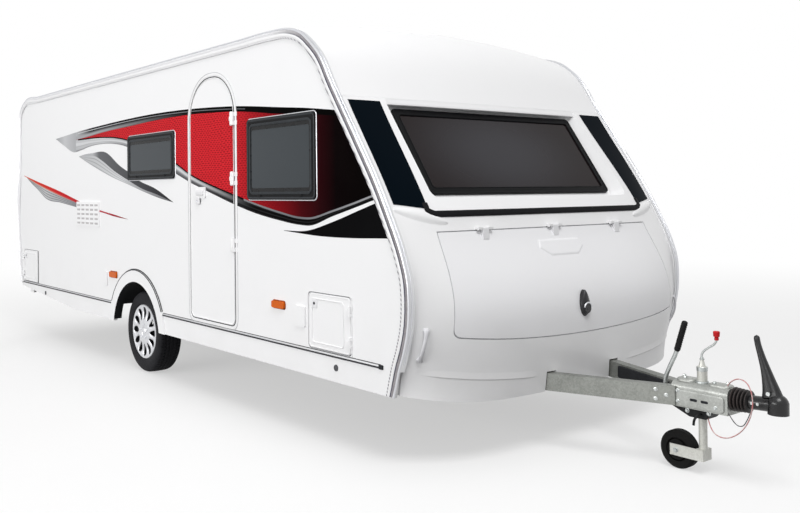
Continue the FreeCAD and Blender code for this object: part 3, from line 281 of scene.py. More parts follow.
def merged(name, parts, body="caravan"):
    """One piece of several pieces, with their materials kept."""
    whole = bmesh.new()
    materials = []
    for part in parts:
        start = len(whole.faces)
        for material in part.data.materials:
            if material not in materials:
                materials.append(material)
        slots = [materials.index(m) for m in part.data.materials]
        whole.from_mesh(part.data)
        whole.faces.ensure_lookup_table()
        for face in whole.faces[start:]:
            face.material_index = slots[face.material_index]
    mesh = bpy.data.meshes.new(name)
    whole.to_mesh(mesh)
    whole.free()
    for material in materials:
        mesh.materials.append(material)
    for part in parts:
        bpy.data.objects.remove(part)
    made = placed(name, mesh)
    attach(made, body)
    return made


def unit(v):
    """Directions along the last axis of v, each of length 1."""
    v = np.array(v, float)
    return v / np.linalg.norm(v, axis=-1, keepdims=True)


def circle(steps):
    """Angles of equal steps once round."""
    return np.arange(steps) * 2 * math.pi / steps


def stacked(*coordinates):
    """Places from their coordinates, each an array or one number for all."""
    return np.stack(np.broadcast_arrays(*coordinates), -1)


def flow(points, x):
    """Smooth line through points read at x: on each piece a cubic whose end slopes are the mean slopes there."""
    px, pz = np.array(points, float).T
    slope = np.gradient(pz, px)
    i = np.clip(np.searchsorted(px, x) - 1, 0, len(px) - 2)
    h = px[i + 1] - px[i]
    t = (x - px[i]) / h
    return ((2 * t**3 - 3 * t**2 + 1) * pz[i] + (t**3 - 2 * t**2 + t) * h * slope[i]
            + (3 * t**2 - 2 * t**3) * pz[i + 1] + (t**3 - t**2) * h * slope[i + 1])


def along(points, count):
    """Smooth path of count points through points in space, each coordinate flowing with the length so far."""
    points = np.array(points, float)
    far = np.concatenate([[0], np.cumsum(np.linalg.norm(np.diff(points, axis=0), axis=1))])
    at = np.linspace(0, far[-1], count)
    return stacked(*(flow(stacked(far, points[:, k]), at) for k in range(3)))


def carried(path, profile, side, closed=False):
    """Grid of a profile (across, out) carried along a path: across runs along side, and out along the way's
    tangent crossed with side, at every point of the path."""
    way = unit(np.roll(path, -1, 0) - np.roll(path, 1, 0) if closed else np.gradient(path, axis=0))
    lift = unit(np.cross(way, np.broadcast_to(np.array(side, float), path.shape)))
    across = np.cross(lift, way)
    profile = np.array(profile, float)
    return path[:, None] + across[:, None] * profile[None, :, :1] + lift[:, None] * profile[None, :, 1:]


RAIL_FRONT = np.array([
    (1.300, 2.550), (1.507, 2.536), (1.646, 2.490), (1.739, 2.424), (1.830, 2.340), (1.954, 2.151), (2.188, 1.808),
    (2.362, 1.545), (2.465, 1.362), (2.569, 1.151), (2.606, 1.034), (2.616, 0.921), (2.599, 0.737), (2.571, 0.642),
    (2.530, 0.535), (2.511, 0.470), (2.486, 0.396)])
RAIL_REAR = np.array([
    (-3.631, 2.550), (-3.784, 2.484), (-3.857, 2.404), (-3.880, 2.204), (-3.909, 1.687), (-3.954, 1.254),
    (-3.907, 0.881), (-3.876, 0.653), (-3.824, 0.535)])
RAIL_FOOT = 0.56
WALL_Y = 1.25
RAIL_Y = 1.258


def rail_line(inset, y):
    """Side outline of the body, from the front sill over the roof to the rear sill, drawn in by inset."""
    ring = np.vstack([RAIL_FRONT[::-1], RAIL_REAR])
    way = unit(np.gradient(ring, axis=0))
    inner = ring - inset * stacked(way[:, 1], -way[:, 0])
    inner[[0, -1], 1] = RAIL_FRONT[-1, 1], RAIL_REAR[-1, 1]
    roof = np.linspace(RAIL_FRONT[0, 0], RAIL_REAR[0, 0], 14)[1:-1]
    half = len(RAIL_FRONT)
    inner = np.vstack([inner[:half], stacked(roof, inner[half - 1, 1]), inner[half:]])
    return along(stacked(inner[:, 0], y, inner[:, 1]), 260)


def full_round(radius, flat=1.0, steps=12):
    """Profile of an ellipse, flat times as high as it is wide."""
    a = circle(steps)
    return stacked(radius * np.cos(a), radius * flat * np.sin(a))


rail_metal = coated("rail_aluminium", "D9DADC", 0.3, 0.35, metallic=0.85, coat_weight=0.0)
cover_white = coated("rail_cover_white", "EDEDEE", 0.34, 0.1)
seal_dark = moulded("sealing_strip", "3A3B46", "55566A", 0.45)
bright_bead = coated("bright_bead", "D3D4D8", 0.3, 0.2, metallic=0.8, coat_weight=0.0)
band_grey = moulded("rail_band_grey", "9C989A", "878387", 0.4)
rail_bright = coated("rail_bright_bead", "D3D4D8", 0.3, 0.2, metallic=0.8, coat_weight=0.0)

# the wall seal of the door side: pale rubber with fine slanting ribs, and dark stripes of painted shade between them
tree, shader, shaded_ribs = finish("ribbed_seal", mirror=0.2)
ribs = tree.nodes.new("ShaderNodeTexWave")
ribs.wave_type, ribs.bands_direction = "BANDS", "DIAGONAL"
tree.links.new(place(tree), ribs.inputs["Vector"])
ribs.inputs["Scale"].default_value = 26.0
rib_shade_stripe = spread(tree, ribs.outputs["Fac"], 0.35, 0.65)
tree.links.new(blended(tree, rib_shade_stripe, tone("89878C"), tone("DDDCDE")), shader["Base Color"])
tree.links.new(add(tree, "MapRange", rib_shade_stripe, 0.0, 1.0, 0.6, 0.4), shader["Roughness"])
# over the roof and down the back the rail is coated white like the walls
for material in (rail_metal, seal_dark, band_grey, shaded_ribs):
    tree = material.node_tree
    skin = tree.nodes["Principled BSDF"].inputs
    own_colour = skin["Base Color"].links[0].from_socket
    front_run = spread(tree, add(tree, "SeparateXYZ", place(tree), out=0), 1.25, 1.75)
    tree.links.new(blended(tree, front_run, tone("E6E6E8"), own_colour), skin["Base Color"])
    if material is rail_metal:
        tree.links.new(times(tree, front_run, 0.85), skin["Metallic"])
paint(rail_metal, "corner_rail_right", "corner_rail_left")
for s, side in SIDES:
    for name, inset, y, profile, material in (
            ("rail_wall_seal", 0.061, RAIL_Y - 0.002, full_round(0.0048), shaded_ribs if s < 0 else cover_white),
            ("rail_cover", 0.0445, RAIL_Y + 0.001, full_round(0.0115, 0.3, 16), cover_white),
            ("rail_cover_seal", 0.0310, RAIL_Y, full_round(0.0032), seal_dark if s < 0 else band_grey),
            ("rail_band", 0.0195, RAIL_Y, full_round(0.0085, 0.3, 16), band_grey),
            ("rail_bead", 0.0045, RAIL_Y - 0.003, full_round(0.0070), rail_bright)):
        surface(f"{name}_{side}", carried(rail_line(inset, s * y), profile[:, ::-1], ACROSS), material, "tube")
    for name, y, drop, material in (
            ("rail_top_seal", 1.2155, 0.0105, seal_dark if s < 0 else cover_white),
            ("rail_top_line", 1.236, -0.001, rail_bright)):
        line = rail_line(drop, s * y)
        surface(f"{name}_{side}", carried(line[line[:, 2] > RAIL_FOOT], full_round(0.004), ACROSS), material, "tube")


# Livery
# Cut vinyl laid on the side walls and across the door: a dark arc over a red field with a fine print of dark
# dashes, silver sweeps that fade to black, and a red and silver streak at the back. It carries no lettering.
DOOR = (0.185, 0.828, 0.583, 2.335)
DOOR_R = 0.30
DOOR_GAP = 0.006
VINYL = 0.0006
FRAME_LAP = 0.024
WINDOWS = (("front_right", -1, 1.011, 1.794, 1.458, 1.992), ("rear_right", -1, -0.933, -0.062, 1.620, 1.989),
           ("front_left", 1, 1.011, 1.794, 1.458, 1.992), ("rear_left", 1, -0.933, -0.062, 1.620, 1.989),
           ("bed_left", 1, -3.300, -2.500, 1.500, 1.990))


def door_edge(side, grow):
    """Lengthwise place of the door's edge at each height: straight, then a quarter circle of the top radius."""
    def at(z):
        rise = np.clip(z - (DOOR[3] - DOOR_R), 0, DOOR_R)
        shift = DOOR_R - np.sqrt(DOOR_R**2 - rise**2)
        return DOOR[0] - grow + shift if side < 0 else DOOR[1] + grow - shift
    return at


def rail_edge(z):
    """Lengthwise place of the front rail's inner line at each height."""
    line = rail_line(0.063, WALL_Y)[:110, ::2]
    order = np.argsort(line[:, 1])
    return np.interp(z, line[order, 1], line[order, 0])


def trimmed(made, s):
    """Cuts a sheet on side s back to just inside each window frame: along the four edge lines, then out between."""
    openings = [window[2:] for window in WINDOWS if window[1] == s]
    with reshaping(made.data) as shape:
        for x0, x1, z0, z1 in openings:
            low, high = Vector((x0 + FRAME_LAP, 0, z0 + FRAME_LAP)), Vector((x1 - FRAME_LAP, 0, z1 - FRAME_LAP))
            for corner, way in ((low, (1, 0, 0)), (high, (1, 0, 0)), (low, UP), (high, UP)):
                bmesh.ops.bisect_plane(shape, geom=shape.verts[:] + shape.edges[:] + shape.faces[:],
                                       plane_co=corner, plane_no=way)
            inside = [f for f in shape.faces if low.x < f.calc_center_median().x < high.x
                      and low.z < f.calc_center_median().z < high.z]
            bmesh.ops.delete(shape, geom=inside, context="FACES")


def vinyl(name, top, low, material, x0, x1, y, body="caravan", steps=(90, 12)):
    """Sheet between an upper and a lower line of the side wall, from x0 to x1, each a place or a function of the
    height. Its own map runs along and across it."""
    along_x = np.linspace(0, 1, steps[0])[:, None]
    across_z = np.linspace(0, 1, steps[1])[None, :]
    left, right = (end if callable(end) else lambda z, end=end: end + 0 * z for end in (x0, x1))
    z = np.full(steps, top[len(top) // 2][1])
    for _ in range(8):
        x = left(z) + along_x * (right(z) - left(z))
        low_z = flow(low, x)
        z = low_z + across_z * np.maximum(flow(top, x) - low_z, 1e-5)
    s = math.copysign(1, y)
    made = surface(name, stacked(x, y, z), material, "sheet", body, out=(0, s, 0), smooth=False)
    trimmed(made, s)
    sheet_map = made.data.uv_layers.new(name="Along")
    place_of = np.zeros(len(made.data.vertices) * 3)
    made.data.vertices.foreach_get("co", place_of)
    place_of = place_of.reshape(-1, 3)
    low_z = flow(low, place_of[:, 0])
    share = (place_of[:, 2] - low_z) / np.maximum(flow(top, place_of[:, 0]) - low_z, 1e-5)
    corner = np.zeros(len(made.data.loops), int)
    made.data.loops.foreach_get("vertex_index", corner)
    sheet_map.data.foreach_set("uv", stacked(place_of[corner, 0] / 4, np.clip(share[corner], 0, 1)).ravel())
    return made


def millimetres(*pairs):
    return np.array(pairs, float) / 1000


def ramp(tree, value, *stops):
    node = tree.nodes.new("ShaderNodeValToRGB")
    tree.links.new(value, node.inputs["Fac"])
    marks = node.color_ramp.elements
    while len(marks) < len(stops):
        marks.new(0.5)
    for mark, (at, code) in zip(marks, stops):
        mark.position = at
        mark.color = tone(code)
    return node.outputs["Color"]


def lengthwise(tree, low, high):
    """0 at the first place along the caravan, 1 at the second."""
    return add(tree, "MapRange", add(tree, "SeparateXYZ", place(tree), out=0), low, high, 0.0, 1.0)


def laid(tree, shader, colour, gloss):
    """Finish of the vinyl: a colour under the road film, on the coat's waviness."""
    wear(tree, shader, use(tree, film, Clean=colour, Gloss=gloss, Amount=0.04))
    wear(tree, shader, use(tree, coat, Peel=0.6))


def foil(name, low, high, *stops, across=None, lines=None):
    """Vinyl whose colour changes from low to high along the caravan. across gives a light line that follows it: its
    centre and width as shares of the sheet's, its colour, and where it fades. lines gives fine printed lines that
    follow the sweep, their count, colour and strength: a sine of the share across, cut off high up."""
    tree, shader, made = finish(name, mirror=0.006)
    colour = ramp(tree, lengthwise(tree, low, high), *stops)
    if lines or across:
        v = add(tree, "SeparateXYZ", add(tree, "TexCoord", out=2), out=1)
    if lines:
        count, code, amount = lines
        wave = maths(tree, "SINE", times(tree, v, count * 2 * math.pi))
        colour = blended(tree, spread(tree, wave, 0.35, 1.0, 0.0, amount), colour, tone(code))
    if across:
        centre, width, code, fade = across
        near = spread(tree, maths(tree, "ABSOLUTE", maths(tree, "SUBTRACT", v, centre)), width, 0.0)
        fading = times(tree, near, spread(tree, lengthwise(tree, low, high), *fade, 1.0, 0.0))
        colour = blended(tree, fading, colour, tone(code))
    laid(tree, shader, colour, 0.32)
    return made


arc_foil = foil("arc_foil", -2.75, 2.3, (0.0, "BCBDBF"), (0.12, "B6B7B9"), (0.19, "2C2C2E"), (0.45, "121213"),
                (0.68, "050505"), (1.0, "020202"), across=(0.2, 0.42, "A9AAAD", (0.13, 0.60)))
sweep_foil = foil("sweep_foil", -2.75, 2.3, (0.0, "B4B5B8"), (0.25, "C0C1C3"), (0.36, "8C8D90"), (0.54, "6C6D70"),
                  (0.66, "303032"), (0.76, "070707"), (1.0, "030303"), across=(0.62, 0.4, "D2D3D5", (0.55, 0.76)),
                  lines=(3, "3A3A3C", 0.5))
deep_foil = foil("deep_foil", -2.2, 0.0, (0.0, "B4B5B7"), (0.21, "B4B5B8"), (0.28, "6A6B6E"), (0.75, "434346"),
                 (1.0, "1E1E20"))
nose_foil = foil("nose_foil", -2.75, -2.1, (0.0, "9A9B9E"), (0.45, "C6C7C9"), (1.0, "A9AAAD"))
pale_foil = foil("pale_foil", -2.2, 0.0, (0.0, "B6B7B9"), (0.5, "D2D3D5"), (0.8, "8F9093"), (1.0, "3A3A3C"),
                 lines=(3, "7C7D80", 0.55))
black_foil = foil("black_foil", 1.3, 2.4, (0.0, "040404"), (1.0, "0C0C0E"))
shine_foil = foil("shine_foil", -2.2, 1.0, (0.0, "D8D9DB"), (0.5, "8E8F92"), (1.0, "5E5F62"))
edge_foil = foil("edge_foil", 0.9, 2.3, (0.0, "8A8B8E"), (0.5, "707174"), (1.0, "9A9B9E"))
streak_red = foil("streak_red", -3.8, -0.9, (0.0, "D8402E"), (0.4, "C8262C"), (0.8, "B02436"), (1.0, "7E2030"),
                  across=(0.12, 0.22, "DCA487", (0.0, 0.7)))
streak_silver = foil("streak_silver", -3.8, -2.1, (0.0, "8B8C8F"), (0.45, "C3C4C6"), (1.0, "8F9093"),
                     lines=(4, "4C4D50", 0.8))

# the red print: wandering rows of short dark dashes, each row shifted by half a dash, over a broken mesh. It ends
# where the red fades into black towards the front.
ROW_HEIGHT, DASH_PITCH = 0.0150, 0.042
tree, shader, red_print = finish("red_honeycomb", mirror=0.006)
spot = place(tree)
apart = add(tree, "SeparateXYZ", spot).node.outputs
flat_spot = add(tree, "CombineXYZ", apart[0], apart[2], 0.0)
cell = tree.nodes.new("ShaderNodeTexVoronoi")
cell.feature = "DISTANCE_TO_EDGE"
cell.voronoi_dimensions = "2D"
tree.links.new(add(tree, "VectorMath", flat_spot, (0.50, 1.35, 1.0), out=0, operation="MULTIPLY"),
               cell.inputs["Vector"])
cell.inputs["Scale"].default_value = 42.0
cell.inputs["Randomness"].default_value = 0.45
strokes = spread(tree, cell.outputs["Distance"], 0.04, 0.16, 1.0, 0.0)
broken = times(tree, strokes, spread(tree, noise(tree, spot, 34.0, 2.0), 0.36, 0.58, 0.15, 0.55))
wander = times(tree, noise(tree, spot, 7.0, 2.0), 1.6)
row = plus(tree, maths(tree, "DIVIDE", apart[2], ROW_HEIGHT), wander)
along_row = plus(tree, maths(tree, "DIVIDE", apart[0], DASH_PITCH), times(tree, maths(tree, "FLOOR", row), 0.5))
rows = spread(tree, maths(tree, "SINE", times(tree, row, 2 * math.pi)), 0.0, 0.8)
dashes = spread(tree, maths(tree, "SINE", times(tree, plus(tree, along_row, wander), 2 * math.pi)), -0.55, 0.2)
dark = maths(tree, "MAXIMUM", times(tree, broken, 0.6), times(tree, times(tree, rows, dashes), 0.9))
pattern_fade = spread(tree, apart[0], 1.2, 1.7, 0.9, 0.0)
base_red = ramp(tree, lengthwise(tree, -2.2, 2.3), (0.0, "AC262D"), (0.2, "D22C33"), (0.66, "D22B33"),
                (0.77, "8E151D"), (0.85, "45090F"), (0.895, "240509"), (0.93, "060102"), (1.0, "020101"))
printed = blended(tree, times(tree, dark, pattern_fade), base_red, tone("6A0E15"))
laid(tree, shader, printed, 0.34)

arc_top = millimetres((-2709, 2069), (-2403, 2087), (-2141, 2103), (-1508, 2128), (-948, 2143), (-449, 2148),
                      (207, 2135), (592, 2117), (875, 2099), (1411, 2047), (1692, 2019), (1951, 1987), (2100, 1968))
red_top = millimetres((-2156, 2031), (-1816, 2044), (-1510, 2061), (-845, 2081), (-356, 2094), (166, 2094),
                      (591, 2078), (840, 2064), (1105, 2039), (1321, 2013), (1637, 1986), (1960, 1952), (2100, 1935))
nose_low = millimetres((-2709, 2067), (-2490, 1993), (-2212, 1912), (-2020, 1922), (-1818, 1946), (-1512, 1957),
                       (-1280, 1948), (-953, 1903), (-880, 1885))
nose_top = millimetres((-2156, 2030), (-1631, 2010), (-1279, 1997), (-952, 1960), (-880, 1945))
red_low = millimetres((-2156, 2030), (-1511, 2019), (-1223, 2002), (-952, 1966), (-500, 1868), (-51, 1736),
                      (158, 1655), (582, 1543), (795, 1496), (997, 1453), (1399, 1380), (1600, 1352), (1725, 1350),
                      (1941, 1394), (2182, 1450), (2300, 1480))
band_low = millimetres((-52, 1655), (156, 1591), (581, 1482), (777, 1434), (1093, 1367), (1398, 1323), (1600, 1302),
                       (1725, 1300), (1940, 1357), (2227, 1429), (2300, 1448))
swoosh_top = millimetres((1435, 1262), (1692, 1268), (1939, 1324), (2249, 1412), (2350, 1440))
swoosh_low = millimetres((1435, 1260), (1569, 1252), (1785, 1240), (2131, 1238), (2400, 1246))
wing_top = millimetres((-2078, 1866), (-1950, 1879), (-1757, 1884), (-1425, 1877), (-1117, 1748), (-957, 1695),
                       (-727, 1613), (-413, 1542), (-99, 1434))
wing_mid = millimetres((-2078, 1865), (-1900, 1860), (-1664, 1850), (-1515, 1806), (-1228, 1702), (-958, 1623),
                       (-653, 1541), (-413, 1500), (-99, 1434))
wing_low = millimetres((-2079, 1863), (-1697, 1754), (-1230, 1639), (-959, 1586), (-654, 1523), (-368, 1470),
                       (-99, 1433))
streak_top = millimetres((-3736, 1718), (-3266, 1640), (-2645, 1541), (-2133, 1446), (-2060, 1432))
streak_mid = millimetres((-3736, 1713), (-3267, 1608), (-2646, 1497), (-2134, 1417), (-2060, 1404))
streak_low = millimetres((-3640, 1690), (-3519, 1640), (-3268, 1553), (-3028, 1463), (-2574, 1420), (-2141, 1378),
                         (-2060, 1370))
tail_top = millimetres((-1640, 1366), (-1535, 1352), (-1236, 1320), (-949, 1285))
tail_low = millimetres((-1640, 1346), (-1536, 1338), (-1236, 1304), (-949, 1284))

for s, side in SIDES:
    y, y_over = s * (WALL_Y + VINYL), s * (WALL_Y + 2 * VINYL)
    for name, top, low, material, x0, x1 in (
            ("nose", arc_top, nose_low, nose_foil, -2.709, -2.156),
            ("nose_sweep", nose_top, nose_low, sweep_foil, -2.156, -0.90),
            ("wing_dark", wing_top, wing_mid, deep_foil, -2.078, -0.099),
            ("wing_pale", wing_mid, wing_low, pale_foil, -2.078, -0.099),
            ("streak_red", streak_top, streak_mid, streak_red, -3.736, -2.06),
            ("streak_silver", streak_mid, streak_low, streak_silver, -3.63, -2.06),
            ("streak_tail", tail_top, tail_low, streak_red, -1.60, -0.949),
            ("front_swoosh", swoosh_top, swoosh_low, black_foil, 1.435, rail_edge)):
        vinyl(f"livery_{name}_{side}", top, low, material, x0, x1, y)
    spans = [("", "caravan", None, rail_edge)]
    if s < 0:
        spans = [("_rear", "caravan", None, door_edge(-1, DOOR_GAP)),
                 ("_door", "entrance_door", door_edge(-1, 0), door_edge(1, 0)),
                 ("_front", "caravan", door_edge(1, DOOR_GAP), rail_edge)]
    for part, body, x0, x1 in spans:
        vinyl(f"livery_arc{part}_{side}", arc_top, red_top, arc_foil, x0 or -2.156, x1, y, body)
        vinyl(f"livery_red{part}_{side}", red_top, red_low, red_print, x0 or -2.156, x1, y, body, (110, 24))
        vinyl(f"livery_band{part}_{side}", red_low, band_low, sweep_foil, x0 or -0.09, x1, y, body)
        for label, top, low, material, last in (
                ("shine", arc_top - (0, 0.016), arc_top - (0, 0.022), shine_foil, 0.98),
                ("edge", red_low + (0, 0.003), red_low - (0, 0.008), black_foil, 0.95)):
            x_end = x1 if part in ("_rear", "_door") else last
            vinyl(f"livery_{label}{part}_{side}", top, low, material, x0 or -2.10, x_end, y_over, body)
    vinyl(f"livery_line_{side}", red_low, red_low - (0, 0.012), edge_foil, 0.95, rail_edge, y_over)


# Skirts and sill strips
# Moulded skirts close the wall below the sill and widen into the arch mouldings. A strip with a dark insert
# covers the joint, with a thin dark line of painted shade along its top and end caps at its ends; a rubber seal
# runs round each arch, and plugs close the jacking holes.
def turned(profile, centre, axis, steps=48):
    """Grid of a profile (along, radius) turned round an axis: centre + along axis + radius (cos u + sin v)."""
    axis = unit(axis)
    u = unit(np.cross(axis, (0.31, 0.27, 0.91)))
    v = np.cross(axis, u)
    a = circle(steps)
    profile = np.array(profile, float)
    ring = np.cos(a)[:, None] * u + np.sin(a)[:, None] * v
    return np.array(centre, float) + profile[:, :1, None] * axis + profile[:, 1:, None] * ring[None]


def outline(half_w, half_h, r, steps=7):
    """Rounded rectangle about the origin whose corners are quarter circles."""
    corners = []
    for k, (sx, sy) in enumerate(((1, 1), (-1, 1), (-1, -1), (1, -1))):
        a = np.linspace(k, k + 1, steps) * math.pi / 2
        corners.append(stacked(sx * (half_w - r) + r * np.cos(a), sy * (half_h - r) + r * np.sin(a)))
    return np.vstack(corners)


def slab(origin, u, v, half, r, height, edge, crown=0.0, foot=0.002):
    """Grid over a raised plate on the plane of u and v: rows run from its middle over the crowned top, round the
    edge by a quarter circle, and down to its foot below the plane."""
    u, v = unit(u), unit(v)
    n = np.cross(u, v)
    small = min(half)
    rows = [(edge + q * (small - edge) * 0.97, height + crown * (1 - (1 - q) ** 2)) for q in (1, 0.75, 0.5, 0.25, 0)]
    rows += [(edge * (1 - math.sin(a)), height - edge * (1 - math.cos(a))) for a in (0.4, 0.8, 1.2, math.pi / 2)]
    rows.append((0.0, -foot))
    grid = []
    for inset, out in rows:
        flat = outline(half[0] - inset, half[1] - inset, max(r - inset, 1e-4))
        grid.append(np.array(origin) + flat[:, :1] * u + flat[:, 1:] * v + out * n)
    return np.array(grid)


def looped(origin, u, v, half, r, profile, steps=7):
    """Grid of a profile (out, sideways) carried round a rounded rectangle on the plane of u and v."""
    u, v = unit(u), unit(v)
    flat = outline(half[0], half[1], r, steps)
    path = np.array(origin) + flat[:, :1] * u + flat[:, 1:] * v
    return carried(path, profile, np.cross(u, v), closed=True)


def wall_spot(s, x, z, out=0.0):
    """Place on a side wall, out from its face."""
    return (x, s * (WALL_Y + out), z)


def wall_u(s):
    """Direction across a wall that, with up, faces away from the body."""
    return (1.0, 0, 0) if s < 0 else (-1.0, 0, 0)


def wall_slab(s, x, z, half, r, height, edge, crown=0.0, out=0.0):
    return slab(wall_spot(s, x, z, out), wall_u(s), UP, half, r, height, edge, crown)


def wall_loop(s, x, z, half, r, profile, out=0.0):
    return looped(wall_spot(s, x, z, out), wall_u(s), UP, half, r, profile)


ARCH_X, ARCH_Z, ARCH_R, ARCH_HOLE = -0.800, 0.3114, 0.5536, 0.4504
SILL_Z = 0.5415
SILL_SPANS = ((-3.800, -1.306), (-0.294, 2.375))


def arch_arc(radius, y, low, count):
    """Arc round a wheel arch between the two places that are low degrees above the level of its centre."""
    a = np.linspace(math.radians(180 - low), math.radians(low), count)
    return stacked(ARCH_X + radius * np.cos(a), y, ARCH_Z + radius * np.sin(a))


trim_dark = moulded("trim_dark", "202124", "2E2F33", 0.5)
well_black = moulded("wheel_well_plastic", "101113", "1B1C1E", 0.7, grain=1.0)
rubber = moulded("seal_rubber", "101012", "1B1B1D", 0.55, grain=0.6, mirror=0.08)
plug_grey = moulded("plug_grey", "5E5F62", "47484A", 0.4)
sill_metal = coated("sill_aluminium", "C6C7CA", 0.32, 0.4, metallic=0.8, coat_weight=0.0)
for s, side in SIDES:
    strips, inserts = [], []
    for x0, x1 in SILL_SPANS:
        line = stacked(np.linspace(x0, x1, 30), s * (WALL_Y + 0.0005), SILL_Z)
        strips.append(carried(line, full_round(0.0125, 0.42), UP))
        inserts.append(carried(line + (0, s * 0.0046, -0.0035), full_round(0.0050, 0.5), UP))
        # a thin dark line along the strip's top edge: painted shade
        inserts.append(carried(line + (0, 0, 0.0128), full_round(0.0024), UP))
    joined(f"sill_strip_{side}", strips, sill_metal, "tube")
    joined(f"sill_insert_{side}", inserts, trim_dark, "tube")
    caps = [wall_slab(s, x, SILL_Z, (0.017, 0.0125), 0.005, 0.009, 0.003) for x in (-3.800, 2.378)]
    joined(f"sill_caps_{side}", caps, trim_dark, "tube")
    liner = np.array([(0.0355, 0.0014), (-0.034, 0.0014), (-0.034, -0.0014), (0.0355, -0.0014), (0.0375, 0.0)])
    for label, radius, y, low, count, profile, material in (
            ("seal", ARCH_R + 0.003, WALL_Y + 0.001, 27, 90, full_round(0.0045), trim_dark),
            ("rim", ARCH_R - 0.003, WALL_Y + 0.0115, 27, 90, full_round(0.0036), trim_dark),
            ("liner", ARCH_HOLE, 1.226, 12, 110, liner * (s, 1), well_black)):
        surface(f"arch_{label}_{side}", carried(arch_arc(radius, s * y, low, count), profile, ACROSS), material,
                "tube")
    plugs = [turned([(0.003, 0.0), (0.0035, 0.009), (0.0015, 0.012), (0.0045, 0.0145), (0.004, 0.019), (-0.001, 0.02),
                     (-0.002, 0.0)], wall_spot(s, x, 0.474), (0, s, 0)) for x in (1.969, -3.05)]
    joined(f"skirt_plugs_{side}", plugs, plug_grey, "lathe")
paint(well_black, "wheel_wells")


# Side and rear windows
# Hollow acrylic panes in black moulded frames bonded over the openings, with a bright outer bead and a raised
# inner rim. The panes have a black printed border, deeper at top and bottom, where the dark band is partly
# painted shade along the frame; roller blinds hang behind them.
def tinted(name, inner, outer, opacity, middle, reach):
    """Smoked acrylic: its colour goes from the inner to the outer colour over reach, from the middle: the smoke tint
    with a painted lighter reflection in the middle and painted shade towards the edges.
    """
    tree, shader, made = finish(name, mirror=0.1)
    shift = add(tree, "VectorMath", place(tree), middle, out=0, operation="SUBTRACT")
    stretch = add(tree, "VectorMath", shift, reach, out=0, operation="DIVIDE")
    far = add(tree, "VectorMath", stretch, out=1, operation="LENGTH")
    # lighter middle and darker edges: painted reflection and shade over the smoke tint
    smoke_and_sheen = blended(tree, spread(tree, far, 0.1, 1.0), tone(inner), tone(outer))
    haze = noise(tree, place(tree), 4.0, 2.0)
    tree.links.new(smoke_and_sheen, shader["Base Color"])
    tree.links.new(spread(tree, haze, 0.3, 0.8, 0.05, 0.1), shader["Roughness"])
    shader["Alpha"].default_value = opacity
    return made


frame_black = moulded("window_frame_black", "0B0B0D", "131416", 0.36, 22.0, 0.5, mirror=0.07)
rim_grey = moulded("window_rim", "26292C", "303438", 0.3)
paint(frame_black, "window_frames", "front_window_frame")
pane_print_and_shade = moulded("pane_print_and_shade", "0B0C0D", "141517", 0.25, mirror=0.15)
paint(tinted("side_acrylic", "474C50", "3B4043", 0.9, (0, 0, 1.75), (4, 9, 0.8)), "window_panes")
blind_cloth = moulded("blind_cloth", "6B6A68", "5C5B59", 0.9, 60.0, 1.0)
INNER_RIM = [(0.0115, 0.018), (0.0150, 0.016), (0.0158, 0.010), (0.0148, 0.002), (0.0118, 0.0), (0.004, 0.0),
             (0.004, 0.018)]
OUTER_RIM = [(0.0118, -0.006), (0.0138, -0.003), (0.0138, 0.003), (0.0118, 0.006), (0.009, 0.0)]
BORDER_LOW, BORDER_TOP = 0.0096, 0.0114
for name, s, x0, x1, z0, z1 in WINDOWS:
    x, z, half = (x0 + x1) / 2, (z0 + z1) / 2, np.array((x1 - x0, z1 - z0)) / 2
    joined(f"window_bead_{name}", [wall_loop(s, x, z, half + 0.004, 0.031, full_round(0.0045))], bright_bead, "loop")
    rims = [wall_loop(s, x, z, half - 0.050, 0.024, INNER_RIM),
            wall_loop(s, x, z, half - 0.010, 0.022, OUTER_RIM)]
    joined(f"window_rims_{name}", rims, rim_grey, "loop")
    # the border ring is wider at top and bottom than at the sides: print, and there partly painted shade along the
    # frame
    outer, inner = outline(*(half - 0.047), 0.024), outline(*(half - (0.059, 0.074)), 0.016)
    border_rows = [wall_spot(s, x, z, out) + ring[:, :1] * np.array(wall_u(s)) + ring[:, 1:] * np.array(UP)
                  for ring, out in ((outer, BORDER_LOW), (outer, BORDER_TOP), (inner, BORDER_TOP), (inner, BORDER_LOW))]
    surface(f"window_print_and_shade_{name}", np.array(border_rows), pane_print_and_shade, "loop")
    catches = [wall_slab(s, x0 + share * (x1 - x0), z0 + 0.026, (0.020, 0.008), 0.004, 0.004, 0.002, out=0.0118)
               for share in (0.2, 0.8)]
    joined(f"window_catches_{name}", catches, frame_black, "tube")
    joined(f"blind_{name}", [wall_slab(s, x, z, half - 0.02, 0.01, 0.0015, 0.001, out=-0.060)], blind_cloth, "tube")


# Front window and its surround
# A wide smoked pane in a black frame, tilted back in a recess of the moulded front, between two gloss black
# panels. A black rubber strip closes the recess along its foot and turns up at both ends.
SLOPE = np.array([(2.344, 0, 1.476), (1.992, 0, 2.000)])
SLOPE_UP = unit(SLOPE[1] - SLOPE[0])
SLOPE_MID = SLOPE.mean(0) + 0.015 * np.cross(ACROSS, SLOPE_UP)
SLOPE_HALF = np.array((0.842, np.linalg.norm(SLOPE[1] - SLOPE[0]) / 2))
paint(tinted("front_acrylic", "39383C", "1D1516", 0.95, (2.17, -0.05, 1.74), (0.5, 0.95, 0.5)), "front_window_pane")
gloss_black = coated("gloss_black", "070F16", 0.1, 0.0, coat_weight=0.0, mirror=0.008)
paint(gloss_black, "corner_panels")
beads = [looped(SLOPE_MID, ACROSS, SLOPE_UP, SLOPE_HALF - inset, r, full_round(radius, 0.7))
         for inset, r, radius in ((0.004, 0.028, 0.005), (0.043, 0.02, 0.0045), (0.024, 0.024, 0.0025))]
joined("front_window_beads", beads, frame_black, "loop")


